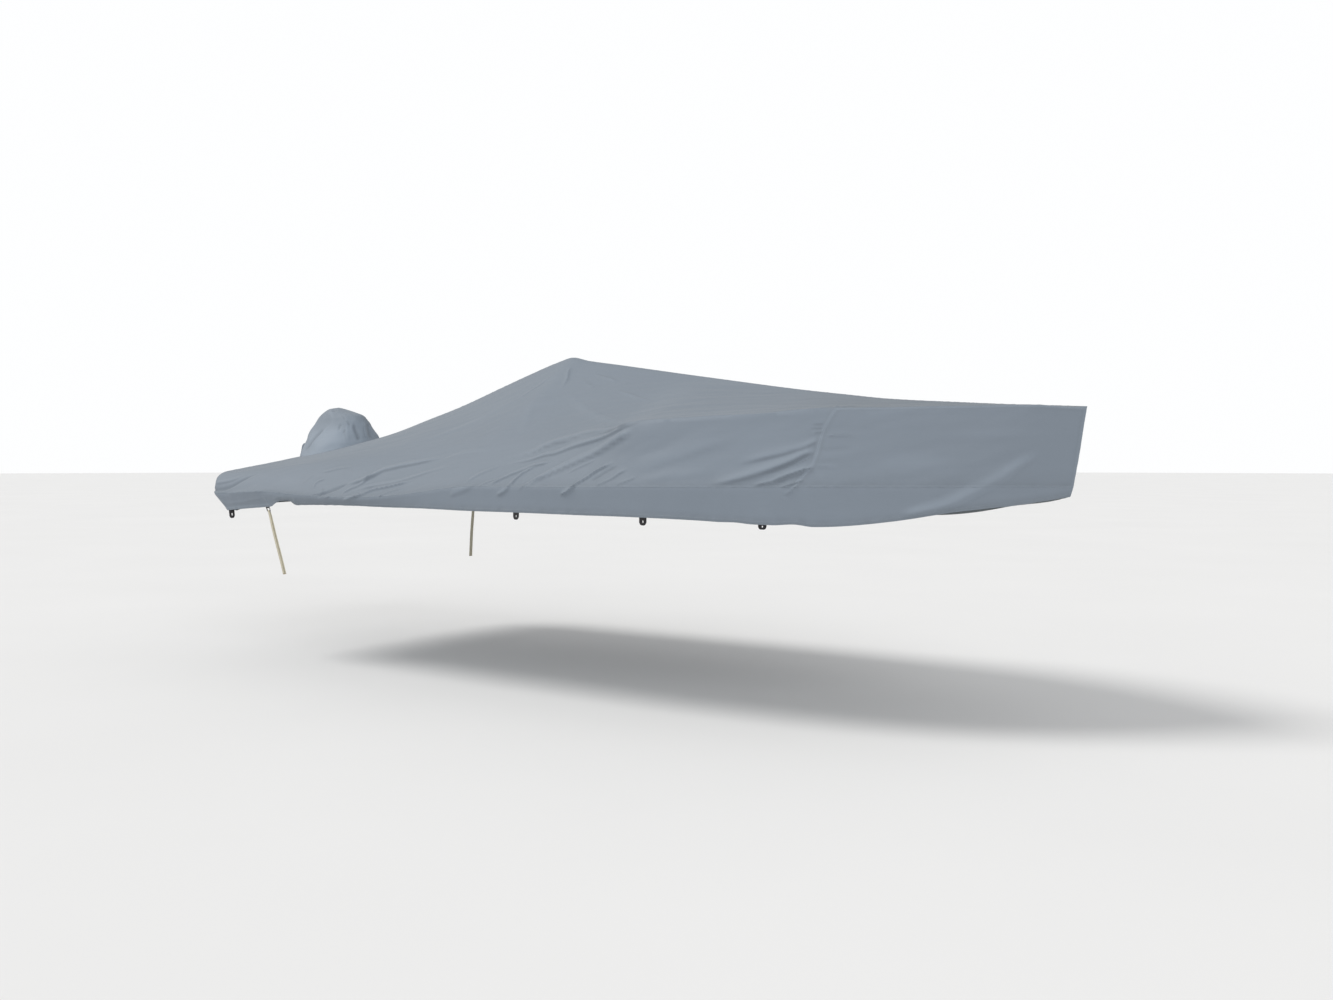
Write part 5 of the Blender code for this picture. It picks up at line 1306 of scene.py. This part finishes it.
def webbing_loop(row, side):
    """Webbing folded flat into a loop: legs behind, the lower run in front, mitred corners."""
    label, at, span, behind, legs, h, slot_w, slot_top, slot_foot = row
    mid, along, out, up = hem_frame(at, span, side)
    place = mid - out * (CLOTH + behind + LOOP_T / 2)
    w, s = LOOP_W / 2, slot_w / 2
    tape = h - slot_foot                      # width of the lower run
    t = LOOP_T * .47
    verts, faces, uv = [], [], []

    def plate(outline, depth, thick, lean):
        """A flat piece with softened rims; outline is anticlockwise, uv leans with the weave."""
        o = np.array(outline, float)
        c = o.mean(0)
        # subdivide the outline, then shrink copies of it to round the rims
        p = resample(np.concatenate([o, o[:1]]), .004)[:-1]
        start = len(verts)
        n = len(p)
        levels = [(-thick / 2, .0007), (-thick * .22, .0), (thick * .22, .0), (thick / 2, .0007)]
        d = np.roll(p, -1, 0) - np.roll(p, 1, 0)
        d /= np.maximum(np.linalg.norm(d, axis=1), 1e-9)[:, None]
        inward = np.stack([-d[:, 1], d[:, 0]], -1)
        for z, shrink in levels:
            for x, y in p + inward * shrink:
                verts.append(place + along * x + up * y + out * (depth + z))
                uv.append((y, x) if lean == 0 else (x, y))
        for z in (-thick / 2, thick / 2):
            verts.append(place + along * c[0] + up * c[1] + out * (depth + z))
            uv.append((c[1], c[0]) if lean == 0 else (c[0], c[1]))
        low, high = start + 4 * n, start + 4 * n + 1
        for k in range(n):
            m = (k + 1) % n
            for l in range(3):
                a, b = start + l * n, start + (l + 1) * n
                faces.append((a + k, a + m, b + m, b + k))
            faces.append((start + m, start + k, low))
            faces.append((start + 3 * n + k, start + 3 * n + m, high))

    front, back = LOOP_T * .25, -LOOP_T * .25
    cut = min(tape, .016)
    for sx in (-1, 1):
        leg = [(sx * w, legs), (sx * s, legs), (sx * s, -h + .004), (sx * (w - cut * .5), -h + cut * .62), (sx * w, -h + cut * 1.1)]
        plate(leg if sx < 0 else leg, back, t, 0)
    run = [(-w + .0006, -h + tape * .98), (-w + .0006, -h + cut), (-w + cut * .42, -h + cut * .30), (-w + cut * .95, -h),
           (w - cut * .95, -h), (w - cut * .42, -h + cut * .30), (w - .0006, -h + cut), (w - .0006, -h + tape * .98)]
    plate(run, front, t, 1)
    patch = [(-w, -slot_top), (w, -slot_top), (w, legs), (-w, legs)]
    plate(patch, front, t, 1)
    faces_q = np.array([f for f in faces if len(f) == 4])
    faces_t = np.array([f for f in faces if len(f) == 3])
    name = "loop_%s_%s" % (label, side)
    ob = mesh_object(name + "_webbing", np.array(verts) - ORIGIN, [faces_q, faces_t], np.array(uv), [BLACK_M], sharp=55)
    fix_normals(ob)
    return finish_piece(ob, "black_webbing", name)


def fix_normals(ob):
    bm = bmesh.new()
    bm.from_mesh(ob.data)
    bmesh.ops.recalc_face_normals(bm, faces=bm.faces)
    bm.to_mesh(ob.data)
    bm.free()


def strap(row, side):
    """Tan webbing doubled through its loop, both runs hanging side by side."""
    _, at, span, behind, _, _, _, _, slot_foot = row
    mid, along, out, up = hem_frame(at, span, side)
    centre = mid - out * (CLOTH + behind + LOOP_T / 2)
    r = LOOP_T / 2 + .0006 + STRAP_T / 2
    bar = -slot_foot
    inward = 1.0 if side == "starboard" else -1.0
    down = np.array([.10, .20 * inward, -1.0])
    down /= np.linalg.norm(down)
    steps = [(1.0, 1.0), (.8, .97), (.6, .93), (.42, .90), (.28, .86), (.14, .75)]
    low = centre + up * (bar - .020)
    path = []
    for run, lean in ((1, -1), (-1, 1)):
        pts = [(low + down * STRAP_LENGTH * s + out * run * r, STRAP_W, lean * STRAP_FAN * fan) for s, fan in steps]
        pts.append((low + out * run * r, STRAP_W, lean * STRAP_FAN * .3))
        pts.append((centre + up * (bar - .006) + out * run * r, STRAP_NECK, 0.0))
        if run == 1:
            path += pts
            for a in (25, 90, 155):
                path.append((centre + up * (bar + r * math.sin(math.radians(a)) + .0008)
                             + out * r * math.cos(math.radians(a)), STRAP_NECK, 0.0))
        else:
            path += pts[::-1]
    pos = np.array([p + along * s for p, _, s in path])
    width = np.array([w for _, w, _ in path])
    size = np.concatenate([[0], np.cumsum(np.linalg.norm(np.diff(pos, axis=0), axis=1))])
    near = np.abs(size - size[-1] / 2)
    # close points round the bar, wider ones down the runs
    at_s, s_now = [0.0], 0.0
    while s_now < size[-1] - 1e-6:
        s_now += .0012 if abs(s_now - size[-1] / 2) < .020 else .0065
        at_s.append(min(s_now, size[-1]))
    at_s = np.array(at_s)
    line = np.stack([Line(size, pos[:, c], True)(at_s) for c in range(3)], -1)
    wide = Line(size, width, True)(at_s)
    # the cloth tape is never quite straight
    free = np.abs(at_s - size[-1] / 2)
    sway = .0022 * np.sin(free / .085 + (0 if side == "starboard" else 1.3)) * step((free - .05) / .15)
    line = line + np.outer(sway, out) * .6 + np.outer(.0016 * np.sin(free / .11 + 2.0) * step((free - .06) / .2), along)
    t = np.gradient(line, axis=0)
    t /= np.linalg.norm(t, axis=1)[:, None]
    across = 7
    rows, uvs = [], []
    for p, d, w, s in zip(line, t, wide, at_s):
        n = np.cross(along, d)
        n /= np.linalg.norm(n)
        a = np.cross(d, n)
        squeeze = step((STRAP_W - w) / .008)
        row, uv = [], []
        for j in range(across):
            x = j / (across - 1) - .5
            # at the bar the tape is gathered into a shallow channel
            sag = -.0009 * squeeze * (1 - 4 * x * x)
            row.append(p + a * x * w + n * sag)
            uv.append((s, x * STRAP_W))
        rows.append(row)
        uvs.append(uv)
    last = len(rows) - 2
    ob = strip("strap_" + side + "_webbing", rows, uvs, [TAN_M, TAN_END_M], "tan_webbing", (), STRAP_T,
               lambda f: ((f[:, 0] < 1) | (f[:, 0] >= last)).astype(int))
    finish_piece(ob, "tan_webbing", "strap_" + side)
    return ob, float(size[-1])


# ------------------------------------------------------------ make it all
area = {}
for side in ("starboard", "port"):
    ob, q = top_panel(side)
    ob, q = bow_panel(side)
    ob, q = skirt(side)
    stitch_side(side)

stern, stern_q, yz, hem_line, stern_v = stern_panel()
hood, angle, rows, shares, hood_v, hood_n, hood_h = motor_hood()
tab = hood_tab(angle, shares, hood_v)
stitch_stern_and_hood(yz, hem_line, stern_v, stern_q, (angle, rows, shares, hood_v, hood_n, hood_h))

for side in ("starboard", "port"):
    for row in LOOPS:
        webbing_loop(row, side)
        if row[0] == "strap":
            ob, long = strap(row, side)

# ------------------------------------------------------------ floor and light
def floor_material():
    m, t, s = nodes_of("floor")
    place = t.nodes.new("ShaderNodeTexCoord").outputs["Object"]
    n = noise(t, place, .35, 3.0, .5)
    t.links.new(mix(t, n, (.74, .74, .74, 1), (.78, .78, .78, 1)), s.inputs["Base Color"])
    s.inputs["Roughness"].default_value = .85
    s.inputs["Specular IOR Level"].default_value = .1
    return m


bpy.ops.mesh.primitive_circle_add(vertices=96, radius=180.0, fill_type="NGON", location=(0, 0, FLOOR_Z - .001))
floor = bpy.context.object
floor.name = "floor"
floor.data.materials.append(floor_material())

world = bpy.data.worlds.new("studio")
bpy.context.scene.world = world
world.use_nodes = True
back = world.node_tree.nodes["Background"]
back.inputs["Color"].default_value = (.990, .995, 1.0, 1)
# the backdrop looks white, and lights the cover less than it looks
seen = world.node_tree.nodes.new("ShaderNodeLightPath")
level = math_node(world.node_tree, "MULTIPLY_ADD", seen.outputs["Is Camera Ray"], .46, .54)
world.node_tree.links.new(level, back.inputs["Strength"])


def sun(name, strength, angle, azimuth, height, colour):
    """Broad soft light; azimuth is where it comes from, anticlockwise from +X."""
    d = bpy.data.lights.new(name, "SUN")
    d.energy, d.angle, d.color = strength, math.radians(angle), colour
    o = bpy.data.objects.new(name, d)
    bpy.context.scene.collection.objects.link(o)
    a, e = math.radians(azimuth), math.radians(height)
    to = -Vector((math.cos(a) * math.cos(e), math.sin(a) * math.cos(e), math.sin(e)))
    o.rotation_euler = to.to_track_quat("-Z", "Y").to_euler()


sun("key", 1.80, 22, 215, 50, (1.0, .985, .96))
sun("fill", 1.60, 50, 320, 18, (.98, .99, 1.0))
bpy.context.scene.view_settings.view_transform = "Standard"
